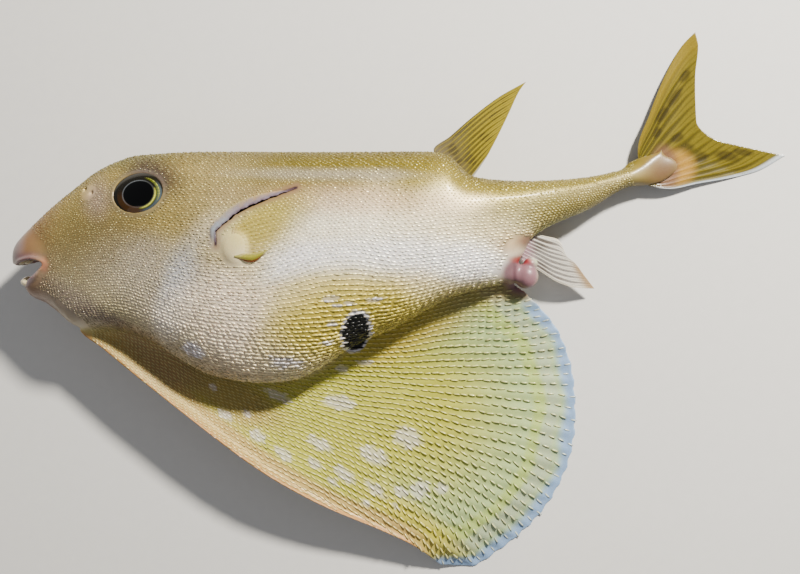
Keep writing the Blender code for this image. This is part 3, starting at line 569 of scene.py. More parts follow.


# The markings. The live colours lie in the skin and in its scales alike: a golden back, a silver
# flank, a yellow-green flap with white blotches and a blue rim, and the black eye-spot with its
# white ring. Some of the dabs are painted shade, shadow and highlight instead. They are soft dabs,
# laid one over the other by their place on the fish.

SILVER, BACK_GOLD, BACK_BROWN = "#E0D0A6", "#786918", "#544608"
HEAD_OLIVE, CHEEK, SNOUT = "#A08C50", "#B8A884", "#8C6646"
FLAP_INNER, FLAP_OUTER, FLAP_GREY, FLAP_GREEN = "#ACAA36", "#A4B87C", "#A8ACA2", "#AAB93C"
RIM_BLUE, ROD_CREAM, ROD_TAN, STRONG_YELLOW = "#86A2C4", "#B69A58", "#A87440", "#BEB022"
BLOTCH_WHITE, SPOT_BLACK, SPOT_WHITE = "#DAD4DE", "#050604", "#E9E4EA"
STALK_OLIVE, GILL_LILAC, GILL_BROWN, SLIT_DARK = "#685A1E", "#8A7E88", "#94705C", "#3A2432"
LID_GREY, SOCKET_BROWN = "#6D6560", "#3A2C1C"
SKIN_DABS = (
    # colour, place x and y, half length, half width, lean, softness of the edge, strength
    ("#6E5C36", -170, 40, 34, 22, 20, 0.6, 0.6),    # front of the cheek
    ("#BAAE9C", -120, 18, 40, 20, -12, 0.7, 0.7),   # silvery lower cheek
    ("#C2CCDC", -116, 10, 10, 24, -20, 0.8, 0.75),  # blue sheen on the cheek
    ("#F4E0C6", -80, -6, 48, 26, -10, 0.6, 0.9),    # belly's bulge
    ("#CBB08E", -105, -32, 40, 9, -20, 0.8, 0.5),   # its shaded lower side
    ("#F4EAD4", -22, 46, 58, 15, 2, 0.7, 0.8),      # pale flank
    ("#F6F2EE", 18, 33, 64, 10, 0, 0.7, 0.95),      # white band along the flank
    ("#FAF6F6", 60, 27, 20, 9, -4, 0.7, 0.8),       # its rear end
    ("#F2EEEE", -40, 30, 22, 7, 24, 0.7, 0.8),      # its front end, under the fin
    ("#D4B290", -10, 66, 60, 8, -3, 0.7, 0.5),      # rosy sheen below the back
    ("#DCD2CC", -28, 81, 46, 3.5, -1, 0.8, 0.3),    # painted highlight: the wet silver sheen along the back
    ("#7C7030", 92, 62, 30, 10, 14, 0.7, 0.7),      # dull green-gold side of the stalk
    ("#CAB628", -12, -6, 48, 27, 8, 0.5, 0.9),      # yellow round the eye-spot
    ("#A48E3C", 24, -12, 40, 10, 24, 0.8, 0.7),     # painted shade: darker olive in the hollow behind it
    ("#8A7038", 62, 10, 26, 8, 15, 0.7, 0.7),       # painted shadow: brown where the body over the vent shades the flap
    ("#7A6040", 86, 12, 14, 7, 0, 0.6, 0.8),        # painted shadow: its end below the vent
    ("#84736C", -186, 2, 26, 10, -28, 0.7, 0.7),    # throat
    ("#76625E", -161, -10, 24, 5, -26, 0.8, 0.8),   # groove between throat and flap
    ("#7A5848", -219, 6, 14, 5, -25, 0.8, 0.7),     # chin
    ("#8E7C80", -233, 36, 7, 9, -30, 0.7, 0.7),     # grey tip of the snout
    ("#6E5058", -222, 31, 12, 3.5, 4, 0.7, 0.8),    # purple edge of the upper lip
    ("#B9A0B4", -219, 20, 9, 3, 40, 0.7, 0.6),      # lilac edge of the lower lip
    ("#B0664E", -207, 27, 3, 4, 0, 0.8, 0.6),       # raw corner of the mouth
    ("#A89090", -170, 69, 9, 11, 10, 0.8, 0.5),     # bare patch at the nostrils
    ("#7A7434", -150, 92, 20, 6, 0, 0.8, 0.7),      # green brow over the eye
    ("#4A3A36", -134, 82, 20, 9, -24, 0.9, 0.9),    # painted purple-brown shade over the upper lid
    ("#B2A02A", -60, 52, 25, 14, 28, 0.6, 0.75),    # yellow behind the breast fin's root
    ("#A08250", -100, -54, 40, 13, -27, 0.5, 0.7),  # painted shadow: brown where the bulge shades the flap
    ("#A08258", -142, -30, 30, 12, -38, 0.5, 0.9),  # painted shadow: its start at the throat
    ("#644834", 170, 85, 13, 10, 30, 0.8, 0.85),    # flesh at the tail's root
    ("#7A585E", 86, 22, 12, 12, 0, 0.25, 1.0),      # the vent's soft bulb
    ("#54383E", 82.3, 22, 1.1, 9, 0, 0.6, 0.7),     # the fold down it
    ("#98282C", 86, 30.5, 6, 2, -8, 0.6, 0.9),      # its red opening
    ("#A8885C", 80, 40, 9, 7, 0, 0.8, 0.7),         # the pad above it
    ("#5E301E", 90, 42, 6, 4, 0, 0.8, 0.8),         # and its red-brown corner
)
BLOTCHES = (
    # place x and y, half length and half width of each white blotch, then its lean
    (-28, -60, 10, 5, -12), (-78, -81, 5.5, 3.7, -35), (-61, -92.5, 7.3, 3, -38),
    (-39, -86, 8.6, 3.7, -30), (-42, -98, 5.5, 2.5, -35), (-23, -105, 8, 3.7, -38),
    (-31, -109, 4.3, 1.9, -38), (-5, -93, 9.3, 5.5, -25), (16, -82, 9.3, 7, -25),
 (-4, -114, 8, 3.1, -40), (-10, -122.5, 3.7, 1.9, -42), (12, -116, 6.2, 3.1, -45),
    (8, -124.5, 2.5, 1.9, -45), (23, -114, 5.6, 6.8, -50), (37, -113, 3.7, 4.3, -50),
    (-109, -23, 8.5, 5.2, -25), (-51, -30, 9.8, 4, -5), (-67, -56, 9.2, 3.1, -22), (-99, -68, 5.5, 2.5, -35),
    (-86, -67, 3.7, 1.9, -30), (-108, -51, 3, 1.9, -35), (-26, -38.7, 4.4, 2.5, -5), (-11, -34.7, 5, 1.9, 8),
    (-22, 9.5, 5.1, 2, 8), (-18, 4.7, 3.4, 1.4, 0), (-21.4, -6, 2.8, 1.7, 0), (-26, -18, 3.5, 1.5, 0),
    (-12, 6.5, 3.4, 1.5, 4), (3, 8, 4.6, 1.7, 8),
)
EYE_SPOT, EYE_SPOT_RIM = (-9.9, -11.8, 7.7, 11.2, -17), 1.22
SPOT_LEVEL, SPOT_SLANT = 50, (0.213, 0.11)
WANDER_WAVES, WANDER_LEVEL, MOTTLE_SIZE = 7, 3.2, 9
SOFT_PLACES = (
    # ovals of bare skin with no scales: place, half sizes and lean
    (-240, 30, 36, 24, 0), (-205, -5, 24, 12, -35), (*EYE_PLACE, 18.5, 13.8, 0), (-177, 72, 6, 5, 20),
    (86, 22, 13, 13, 0), (86, 38, 9, 7, 0), (170, 84, 20, 14, 10), (*PECTORAL_LOBE, 10, 11, 0),
)


def oval(x, y, centre_x, centre_y, half_length, half_width, lean):
    """How far a place is from a leaning oval's centre, 1 on the oval itself."""
    turn = math.radians(lean)
    dx, dy = x - centre_x, y - centre_y
    along = dx * math.cos(turn) + dy * math.sin(turn)
    across = dy * math.cos(turn) - dx * math.sin(turn)
    return np.hypot(along / half_length, across / half_width)


def line_distance(line, x, y, samples=60):
    """Distance in plan from a smooth line, and the share of its length at the nearest place."""
    share = np.linspace(0, 1, samples)
    corners = path(line)(share)[:, :2]
    nearest, place = np.full(len(x), 1e9), np.zeros(len(x))
    for k in range(samples - 1):
        (ax, ay), (bx, by) = corners[k], corners[k + 1]
        t = ((x - ax) * (bx - ax) + (y - ay) * (by - ay)) / ((bx - ax) ** 2 + (by - ay) ** 2)
        t = np.clip(t, 0, 1)
        far = np.hypot(x - ax - t * (bx - ax), y - ay - t * (by - ay))
        closer = far < nearest
        nearest = np.where(closer, far, nearest)
        place = np.where(closer, (k + t) / (samples - 1), place)
    return nearest, place


def wander(x, y, size, seed):
    """A smooth irregular value between about -1 and 1, with lumps of the given size."""
    draw = np.random.default_rng(seed)
    total = np.zeros(len(x))
    for _ in range(WANDER_WAVES):
        turn, phase = draw.uniform(0, 2 * math.pi), draw.uniform(0, 2 * math.pi)
        stretch = draw.uniform(0.7, 1.6)
        along = x * math.cos(turn) + y * math.sin(turn)
        total += np.sin(along * 2 * math.pi * stretch / size / 2 + phase)
    return total / WANDER_LEVEL


def markings(place, raised):
    """The colour, sheen and roughness at places on the fish; raised is 1 on scales, 0 on skin."""
    x, y = place[:, 0], place[:, 1]
    tone = np.tile(linear(SILVER), (len(x), 1))

    def lay(colour, mask):
        nonlocal tone
        tone = tone + (linear(colour) - tone) * np.clip(mask, 0, 1)[:, None]

    belly, back = belly_at(x), back_at(x)
    height = (y - belly) / (back - belly)
    flap = soft(belly - y, -3, 5) * (x < 125)
    on_body = 1 - flap
    uneven = wander(x, y, 22, 5)
    head = soft(-x, 45, 125)
    lay(BACK_GOLD, soft(height + 0.03 * uneven, 0.60, 0.86) * on_body)
    lay(CHEEK, head * on_body)
    lay(HEAD_OLIVE, head * soft(height + 0.04 * uneven, 0.32, 0.72))
    lay(BACK_BROWN, soft(height, 0.9, 1.0) * 0.7)
    stalk = soft(x, 78, 105) * on_body
    lay(BACK_GOLD, stalk * 0.8)
    lay(STALK_OLIVE, stalk * (1 - soft(height, 0.1, 0.55)) * 0.8)
    lay(SNOUT, soft(-x, 186, 224) * 0.9)
    rim_far, rim_share = line_distance(FLAP_RIM, x, y)
    rod_far, rod_share = line_distance(ROD_LINE, x, y)
    from_rim = rim_far + 1.5 * uneven
    lay(FLAP_INNER, flap)
    lay(FLAP_OUTER, flap * (1 - soft(from_rim, 24, 85)))
    lay(FLAP_GREEN, flap * 0.45 * (1 - soft(np.abs(from_rim - 24), 2, 6)))
    lay(FLAP_GREY, flap * 0.45 * (1 - soft(np.abs(from_rim - 15), 2, 7)))
    lay(STRONG_YELLOW, flap * 0.8 * (1 - soft(oval(x, y, 20, -140, 45, 16, -38), 0.4, 1.3)))
    lay(RIM_BLUE, flap * (1 - soft(from_rim, 4.5, 11)) * (1 - soft(rim_share, 0.86, 0.93)))
    wider = 1 - soft(rod_share, 0.1, 0.4)
    creamy = 1 - soft(rod_far, 8 + 10 * wider, 13 + 14 * wider)
    lay(ROD_CREAM, flap * creamy * (1 - soft(rod_share, 0.88, 1.0)))
    lay(ROD_TAN, flap * (1 - soft(rod_far, 1, 4)) * (1 - soft(rod_share, 0.9, 1.0)) * 0.8)
    for colour, *place_and_size, softness, strength in SKIN_DABS:
        far = oval(x, y, *place_and_size) + 0.12 * uneven
        lay(colour, strength * (1 - soft(far, 1 - softness, 1 + softness)))
    jag = (0.10 + 0.12 * raised) * wander(x, y, 3.2, 9)
    for blotch in BLOTCHES:
        lay(BLOTCH_WHITE, (0.35 + 0.65 * raised) * (1 - soft(oval(x, y, *blotch) + 1.6 * jag, 0.7, 1.2)))
    drop = SPOT_LEVEL - place[:, 2]
    spot = oval(x + SPOT_SLANT[0] * drop, y + SPOT_SLANT[1] * drop, *EYE_SPOT) + 0.35 * jag
    spotted = 1 - soft(spot, 0.98, 1.04)
    lay(SPOT_WHITE, 1 - soft(spot, EYE_SPOT_RIM - 0.1, EYE_SPOT_RIM + 0.05))
    lay(SPOT_BLACK, spotted)
    slit_far, slit_share = line_distance(GILL_SLIT, x, y)
    slit_y = path(GILL_SLIT)(slit_share)[:, 1]
    above = soft(y - slit_y + 0.4 * (GILL_SLIT[0][0] - x), -1.5, 1.5)
    lay(GILL_LILAC, above * (1 - soft(slit_far, 3.0, 5.5)) * 0.5)
    lay(GILL_BROWN, (1 - above) * (1 - soft(slit_far, 1.5, 4.5)) * 0.6)
    lay(SLIT_DARK, (1 - soft(slit_far, 0.5, 1.3)) * 0.95)
    far_eye = oval(x, y, *EYE_PLACE, *LID_OPENING, 0)
    lay(LID_GREY, (1 - soft(np.abs(far_eye - 1.08), 0.04, 0.2)) * 0.3)
    lay(SOCKET_BROWN, 1 - soft(far_eye, 0.90, 1.0))
    bare = np.max([1 - soft(oval(x, y, *soft_place), 0.8, 1.1) for soft_place in SOFT_PLACES], axis=0)
    # Painted shade between the scales: the bare skin under them is darkened, most round the eye-spot and
    # least on the flap
    shade_between_scales = 0.10 + 0.25 * (1 - soft(oval(x, y, -8, -14, 62, 24, 8), 0.5, 1.3))
    tone = tone * (1 - shade_between_scales * (1 - raised) * (1 - bare) * (on_body + 0.3 * flap))[:, None]
    golden = np.maximum(head, soft(height, 0.6, 0.8)) * on_body
    sheen = (0.10 + 0.15 * on_body + 0.15 * golden) * (1 - spotted) * (1 - bare)
    rough = 0.50 - 0.14 * raised - 0.06 * golden - 0.12 * bare
    return tone, sheen, rough


def write_attributes(mesh, tone, sheen, rough, spark):
    """Keep the markings on the mesh's points, for its material to read."""
    kept = {"markings": (tone, np.ones(len(tone))), "finish": (sheen, rough, spark, spark)}
    for name, columns in kept.items():
        layer = mesh.color_attributes.new(name, "FLOAT_COLOR", "POINT")
        layer.data.foreach_set("color", np.column_stack(columns).astype(np.float32).ravel())


def kept_marks(tree):
    """The mesh's kept colour, the three channels of its finish and the place on it, as sockets."""
    colour = node(tree, "ShaderNodeAttribute", attribute_name="markings")
    finish = node(tree, "ShaderNodeAttribute", attribute_name="finish")
    channels = node(tree, "ShaderNodeSeparateColor", {0: finish.outputs["Color"]})
    return colour.outputs["Color"], channels.outputs, node(tree, "ShaderNodeTexCoord").outputs["Object"]


def wet_skin(name, film, grain_size, grain_height, variety):
    """Wet fish skin: soft flesh tones under a thin clear film of water, with a fine grain."""
    material, tree, shader = new_material(name, {
        "IOR": 1.4, "Coat Weight": film, "Coat Roughness": 0.12, "Coat IOR": 1.33,
        "Subsurface Weight": 0.06, "Subsurface Radius": (1.0, 0.45, 0.25), "Subsurface Scale": 0.0015})
    colour, channels, place = kept_marks(tree)
    grain = node(tree, "ShaderNodeTexNoise", {"Vector": place, "Scale": 1000 / grain_size, "Detail": 3.0})
    mottle = node(tree, "ShaderNodeTexNoise", {"Vector": place, "Scale": 1000 / MOTTLE_SIZE, "Detail": 4.0})
    both = node(tree, "ShaderNodeMath", {0: grain.outputs[0], 1: mottle.outputs[0]}, operation="ADD")
    shade = node(tree, "ShaderNodeMapRange", {0: both.outputs[0], 1: 0.6, 2: 1.4,
                                              3: 1 - variety, 4: 1 + variety})
    lit = node(tree, "ShaderNodeMath", {0: shade.outputs[0], 1: channels[2]}, operation="MULTIPLY")
    multiply_into(tree, shader, colour, lit.outputs[0])
    tree.links.new(channels[0], shader.inputs["Metallic"])
    rough = node(tree, "ShaderNodeMath", {0: channels[1], 1: shade.outputs[0]}, operation="MULTIPLY")
    tree.links.new(rough.outputs[0], shader.inputs["Roughness"])
    bump = node(tree, "ShaderNodeBump", {"Height": grain.outputs[0], "Strength": 0.5,
                                         "Distance": grain_height * MM})
    tree.links.new(bump.outputs[0], shader.inputs["Normal"])
    return material


skin_tone, skin_sheen, skin_rough = markings(points, 0)
skin_mesh.vertices.foreach_set("co", (points * MM).astype(np.float32).ravel())
skin_mesh.update()
skin_mesh.shade_smooth()
write_attributes(skin_mesh, skin_tone, skin_sheen, skin_rough, np.ones(len(points)))
skin_mesh.materials.clear()
skin_mesh.materials.append(wet_skin("wet_skin", film=0.1, grain_size=0.8, grain_height=0.12, variety=0.10))
skin = new_object("skin", skin_mesh)
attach(skin, "root")
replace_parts(skin, "head", "lower_jaw", "trunk", "tail_stalk", "belly_flap", "vent")


# The scales. Each is a small bony grain set in the skin, with a keel that rises to its rear end.
# They stand in rows that leave the throat as a fan, fine and close on the head and back, ridged
# on the flank, and as long separate dashes on the flap.

LIE = (
    # where the rows run in which direction: x, y and degrees up from +X
    (-197, 5, -40), (-166, 18, 3), (-133, 7, -20), (-122, -11, -28), (-100, 8, -6), (-75, 8, -3),
    (-82, -10, -12), (-105, -30, -20), (-56, 14, 12), (-47, 28, 28), (-38, 40, 28), (-21, 43, 5),
    (7, 40, -12), (35, 34, 0), (63, 34, 0), (-16, 20, 4), (-47, 5, 4), (-23, -4, -3), (-47, -16, -10),
    (5, 2, 4), (17, 8, 12), (39, 7, 22), (24, -7, 18), (55, -14, 14), (73, -57, -6), (30, -89, -30),
    (-7, -102, -35), (-39, -83, -30), (-27, -60, -12), (-59, -59, -20), (-2, -46, -5), (110, -26, 8),
    (92, -10, 16), (64, -30, 8), (96, -42, 2), (110, -76, -18), (92, -108, -37), (61, -140, -58),
    (36, -154, -65), (18, -133, -45), (-20, -120, -36), (-83, -77, -34),
 (-128, -49, -38), (-167, -24, -40), (-166, 55, 15), (-195, 43, 35), (-131, 43, 0),
    (-71, 78, 0), (46, 77, -2), (103, 66, 5), (132, 78, 10), (155, 84, 12),
)
ROWS = (
    # x, y, spacing across and along the rows, share of it that a scale fills, and its height
    (-170, 50, 1.25, 1.6, 0.9, 1.0, 0.22), (-140, 30, 1.4, 2.1, 0.85, 1.0, 0.27),
    (-60, 85, 1.3, 1.6, 0.9, 0.95, 0.24), (50, 80, 1.3, 1.6, 0.9, 0.95, 0.24),
    (130, 74, 1.3, 1.6, 0.9, 0.95, 0.22), (-20, 55, 1.5, 2.1, 0.85, 1.0, 0.28),
    (-125, 5, 1.8, 3.3, 0.74, 1.06, 0.42), (-60, 10, 2.1, 3.8, 0.68, 1.1, 0.46),
    (-90, -20, 2.4, 4.6, 0.6, 1.12, 0.6), (-10, -8, 2.7, 4.4, 0.6, 1.1, 0.7),
    (45, 30, 1.8, 3.4, 0.78, 1.06, 0.38), (40, 2, 2.1, 3.8, 0.7, 1.06, 0.55),
    (-110, -55, 1.8, 3.4, 0.65, 1.05, 0.5), (-60, -70, 2.4, 4.8, 0.55, 1.12, 0.85),
    (-30, -100, 2.6, 5.2, 0.52, 1.12, 0.95), (0, -60, 3.2, 5.6, 0.45, 1.1, 1.05),
    (50, -30, 4.4, 5.6, 0.36, 1.06, 1.15), (40, -100, 4.4, 6.2, 0.34, 1.04, 1.25),
    (75, -60, 5.4, 6.2, 0.28, 0.98, 1.3), (108, -60, 5.6, 6.2, 0.26, 0.8, 1.0),
    (60, -140, 4.8, 6.2, 0.3, 0.92, 1.15), (90, 0, 4.8, 5.6, 0.3, 0.92, 1.0),
)
FIELD_ROUNDS = 450
SIZE_SPREAD, SEED, PATCH = 0.14, 1920, 0.003
RIM_BARE, ROD_BARE, SLIT_BARE, FLOOR_BARE = 2.2, 1.5, 3.2, 0.4
JITTER_HEAD, JITTER_FLANK, JITTER_FLAP = 0.26, 0.13, 0.07
TILT_HEAD, TILT_FLANK, TILT_FLAP, TURN_SPREAD = 28, 14, 7, 8
SPARK_BODY, SPARK_FLAP = 0.34, 0.12
# Each scale's keel carries a painted cream highlight and its foot painted shade
FOOT_SHADE_BODY, FOOT_SHADE_FLAP, CREST_LIGHT_BODY, CREST_LIGHT_FLAP, CREST_HIGHLIGHT = 0.74, 0.5, 0.2, 0.45, "#EEE6A0"


def blended(table, x, y, columns):
    """The table's values at each place, each entry counting by its nearness."""
    rows = np.array(table, float)
    weight = [1 / ((x - row[0]) ** 2 + (y - row[1]) ** 2 + 30) ** 1.6 for row in rows]
    total = sum(weight)
    return [sum(w * row[column] for w, row in zip(weight, columns(rows))) / total
            for column in range(len(columns(rows)[0]))]


def solve_field(points, edges, gradient, start):
    """Values whose steps along the mesh's edges follow the wanted gradient as well as they can."""
    a, b = edges.T
    count = len(points)
    want = ((gradient[a] + gradient[b]) / 2 * (points[b] - points[a])).sum(axis=1)

    def spread(value):
        step = value[b] - value[a]
        return np.bincount(b, step, count) - np.bincount(a, step, count)

    value = start.copy()
    rest = np.bincount(b, want, count) - np.bincount(a, want, count) - spread(value)
    search, size = rest.copy(), rest @ rest
    for k in range(FIELD_ROUNDS):
        moved = spread(search)
        step = size / (search @ moved)
        value += step * search
        rest -= step * moved
        size, last = rest @ rest, size
        search = rest + size / last * search
    return value


def row_axes(points, normals):
    """The directions along and across the rows, lying in the skin."""
    x, y = points[:, 0], points[:, 1]
    turns = np.radians(np.array(LIE)[:, 2])
    lie = np.column_stack([np.array(LIE)[:, :2], np.cos(turns), np.sin(turns)])
    east, north = blended(lie, x, y, lambda rows: rows[:, 2:])
    plan = np.column_stack([east, north, np.zeros(len(x))])
    plan /= np.linalg.norm(plan, axis=1)[:, None]
    along = plan - (plan * normals).sum(axis=1)[:, None] * normals
    along /= np.maximum(np.linalg.norm(along, axis=1), 1e-6)[:, None]
    across = np.cross(normals, along) * np.where(normals[:, 2] < 0, -1, 1)[:, None]
    return along, across


along, across = row_axes(points, normals)
row_gap, scale_gap, fill_across, fill_along, scale_height = blended(
    ROWS, points[:, 0], points[:, 1], lambda rows: rows[:, 2:])
row_value = solve_field(points, edges, across / row_gap[:, None], points[:, 1] / 2.2)
place_value = solve_field(points, edges, along / scale_gap[:, None], points[:, 0] / 3)


def lattice_places():
    """Where the rows and the staggered steps along them meet: triangle and share of its corners."""
    row, step = row_value[triangles], place_value[triangles]
    found = []
    for extra_row in (0, 1):
        number = np.ceil(row.min(axis=1)) + extra_row
        shift = 0.5 * (number % 2)
        for extra_step in (0, 1):
            count = np.ceil(step.min(axis=1) - shift) + shift + extra_step
            inside = (number <= row.max(axis=1)) & (count <= step.max(axis=1))
            at = np.nonzero(inside)[0]
            r, s = row[at], step[at]
            dr, ds = number[at] - r[:, 0], count[at] - s[:, 0]
            r1, r2, s1, s2 = r[:, 1] - r[:, 0], r[:, 2] - r[:, 0], s[:, 1] - s[:, 0], s[:, 2] - s[:, 0]
            area = r1 * s2 - r2 * s1
            area = np.where(np.abs(area) < 1e-9, 1e-9, area)
            u, v = (dr * s2 - ds * r2) / area, (r1 * ds - s1 * dr) / area
            hit = (u >= 0) & (v >= 0) & (u + v < 1)
            share = np.stack([1 - u - v, u, v], axis=1)[hit]
            found.append((at[hit], share, number[at][hit], count[at][hit]))
    return [np.concatenate(column) for column in zip(*found)]


spot_triangle, spot_share, spot_row, spot_step = lattice_places()


def at_spots(values):
    corner = values[triangles[spot_triangle]]
    if corner.ndim == 3:
        return (corner * spot_share[:, :, None]).sum(axis=1)
    return (corner * spot_share).sum(axis=1)


root = at_spots(points)
out = at_spots(normals)
out /= np.linalg.norm(out, axis=1)[:, None]
x, y, z = root.T
keep = np.ones(len(x), bool)
for place in SOFT_PLACES:
    keep &= oval(x, y, *place) > 1
slit_far, slit_share = line_distance(GILL_SLIT, x, y)
rod_far, rod_share = line_distance(ROD_LINE, x, y)
rim_far, rim_share = line_distance(FLAP_RIM, x, y)
keep &= slit_far > SLIT_BARE
keep &= (rod_far > ROD_BARE) | (y > belly_at(x))
keep &= (z > FLOOR_BARE) & (rim_far > RIM_BARE)

draw = np.random.default_rng(SEED)
luck = draw.random((len(x), 9)) * 2 - 1
flap_share = soft(belly_at(x) - y, -3, 5)
head_share = np.maximum(soft(-x, 60, 130) * soft(y, -5, 30), soft(y, 60, 75)) * (1 - flap_share)
length = at_spots(scale_gap * fill_along) * (1 + SIZE_SPREAD * luck[:, 0])
width = at_spots(row_gap * fill_across) * (1 + SIZE_SPREAD * luck[:, 1])
height = at_spots(scale_height) * (1 + SIZE_SPREAD * luck[:, 2])
fade = soft(oval(x, y, -230, 22, 50, 40, 0), 0.75, 1.6)
height = height * (0.2 + 0.8 * fade) * (0.3 + 0.7 * soft(rim_far, RIM_BARE, 10))
spot_along, spot_across = row_axes(root, out)
loose = (JITTER_FLANK + (JITTER_HEAD - JITTER_FLANK) * head_share
         + (JITTER_FLAP - JITTER_FLANK) * flap_share)
root = root + spot_along * (luck[:, 4] * loose * at_spots(scale_gap))[:, None]
root = root + spot_across * (luck[:, 5] * loose * at_spots(row_gap))[:, None]

# One scale: a sunk oval foot, a raised shoulder and a keel of four points that ends in a tip
CORNERS = 6
foot = [(0.5 * math.cos(2 * math.pi * k / CORNERS), 0.5 * math.sin(2 * math.pi * k / CORNERS), -0.6)
        for k in range(CORNERS)]
shoulder = [(0.43 * c / 0.5 + 0.03, 0.36 * s / 0.5, 0.34 + 0.22 * c) for c, s, _ in foot]
keel = [(-0.36, 0, 0.45), (-0.08, 0, 0.85), (0.2, 0, 1.05), (0.5, 0, 0.95)]
TEMPLATE = np.array(foot + shoulder + keel)
CREST = np.array([0.0] * CORNERS + [0.45] * CORNERS + [1.0] * len(keel))
scale_faces = []
for k in range(CORNERS):
    n = (k + 1) % CORNERS
    crest, next_crest = 2 * CORNERS + abs(3 - k), 2 * CORNERS + abs(3 - n)
    scale_faces += [(k, n, CORNERS + n), (k, CORNERS + n, CORNERS + k)]
    scale_faces += [(CORNERS + k, CORNERS + n, next_crest), (CORNERS + k, next_crest, crest)]
scale_faces += [(0, k + 1, k) for k in range(1, CORNERS - 1)]
SCALE_FACES = np.array(scale_faces)


def mesh_from(name, corners, faces):
    """A mesh straight from arrays of corners and triangles."""
    mesh = bpy.data.meshes.new(name)
    mesh.vertices.add(len(corners))
    mesh.vertices.foreach_set("co", corners.astype(np.float32).ravel())
    mesh.loops.add(faces.size)
    mesh.loops.foreach_set("vertex_index", faces.astype(np.int32).ravel())
    mesh.polygons.add(len(faces))
    mesh.polygons.foreach_set("loop_start", np.arange(0, faces.size, 3, dtype=np.int32))
    mesh.update(calc_edges=True)
    mesh.shade_smooth()
    return mesh


def scale_piece(name, chosen, material):
    """One joined mesh of the chosen scales, with their own patches on the bake map."""
    count = len(chosen)
    flap, head, chance = flap_share[chosen], head_share[chosen], luck[chosen]
    spread = np.radians(TILT_HEAD * head + TILT_FLANK * (1 - head - flap) + TILT_FLAP * flap)
    roll, pitch, turn = spread * chance[:, 3], spread * chance[:, 6], np.radians(TURN_SPREAD) * chance[:, 8]
    local = TEMPLATE[None] * np.stack([length[chosen], width[chosen], height[chosen]], 1)[:, None]
    lean = np.tan(roll)[:, None] * local[..., 1] + np.tan(pitch)[:, None] * local[..., 0]
    local[..., 2] += lean * (TEMPLATE[None, :, 2] > 0)
    ahead = spot_along[chosen] * np.cos(turn)[:, None] + spot_across[chosen] * np.sin(turn)[:, None]
    aside = spot_across[chosen] * np.cos(turn)[:, None] - spot_along[chosen] * np.sin(turn)[:, None]
    corners = (root[chosen, None] + local[..., :1] * ahead[:, None]
               + local[..., 1:2] * aside[:, None] + local[..., 2:] * out[chosen, None])
    corners[..., 2] = np.maximum(corners[..., 2], 0.02)
    faces = SCALE_FACES[None] + (np.arange(count) * len(TEMPLATE))[:, None, None]
    flipped = spot_side[chosen] < 0
    faces[flipped] = faces[flipped][:, :, ::-1]
    mesh = mesh_from(name, corners.reshape(-1, 3) * MM, faces.reshape(-1, 3))
    tone, sheen, rough = markings(root[chosen], 1)
    # Painted light on each scale: a cream highlight along its keel, and painted shade darkening its foot
    pale = (CREST_LIGHT_BODY + (CREST_LIGHT_FLAP - CREST_LIGHT_BODY) * flap) * soft(tone.mean(axis=1), 0.01, 0.08)
    crest_lit_tone = tone + (linear(CREST_HIGHLIGHT) - tone) * pale[:, None]
    foot_shaded_tone = tone * (FOOT_SHADE_BODY + (FOOT_SHADE_FLAP - FOOT_SHADE_BODY) * flap)[:, None]
    tone = foot_shaded_tone[:, None] + (crest_lit_tone - foot_shaded_tone)[:, None] * CREST[None, :, None]
    spark = np.exp((SPARK_BODY + (SPARK_FLAP - SPARK_BODY) * flap) * chance[:, 7])
    each = lambda value: np.repeat(value, len(TEMPLATE), axis=0)
    write_attributes(mesh, tone.reshape(-1, 3), each(sheen), each(rough), each(spark))
    cell = np.column_stack([(spot_step[chosen] - spot_step.min()), (spot_row[chosen] - spot_row.min())])
    cell = cell * PATCH * 1.05 + [0.01, 0.01]
    cell[:, 1] += np.where(out[chosen, 2] < 0, 0.5, 0)
    shape = (TEMPLATE[:, :2] + 0.5) * PATCH * 0.95
    uv = (cell[:, None] + shape[None])[:, SCALE_FACES].reshape(-1, 2)
    uv_flip = uv.reshape(count, len(SCALE_FACES), 3, 2)
    uv_flip[flipped] = uv_flip[flipped][:, :, ::-1]
    layer = mesh.uv_layers.new(name="OFBake")
    layer.data.foreach_set("uv", uv_flip.astype(np.float32).ravel())
    mesh.materials.append(material)
    piece = new_object(name, mesh)
    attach(piece, "root")


spot_side = np.where(out[:, 2] < 0, -1, 1)
bone = wet_skin("wet_scale", film=0.4, grain_size=0.5, grain_height=0.05, variety=0.08)
height_share = (y - belly_at(x)) / (back_at(x) - belly_at(x))
on_flap = y < belly_at(x)
zones = {
    "head": (~on_flap & (x < -90) & (height_share >= 0.5), "skin_back"),
    "cheek": (~on_flap & (x < -90) & (height_share < 0.5), "skin_back"),
    "flank": (~on_flap & (x >= -90) & (height_share < 0.55) & (x < 80), "skin_flank"),
    "back": (~on_flap & (x >= -90) & ((height_share >= 0.55) | (x >= 80)), "skin_back"),
    "flap": (on_flap, "skin_flap"),
}
for zone, (inside, slot) in zones.items():
    for side, word in ((1, "left"), (-1, "right")):
        chosen = np.nonzero(keep & inside & (spot_side == side))[0]
        scale_piece(f"scales_{zone}_{word}", chosen, bone)
        print("scales", zone, word, len(chosen), "triangles", len(chosen) * len(SCALE_FACES))


# The eyes. Each is a ball of clear jelly in a tough coat. The iris is a ring of silver and gold
# cells round a black pupil, seen through the wet clear cornea, and the lids hold its edge.

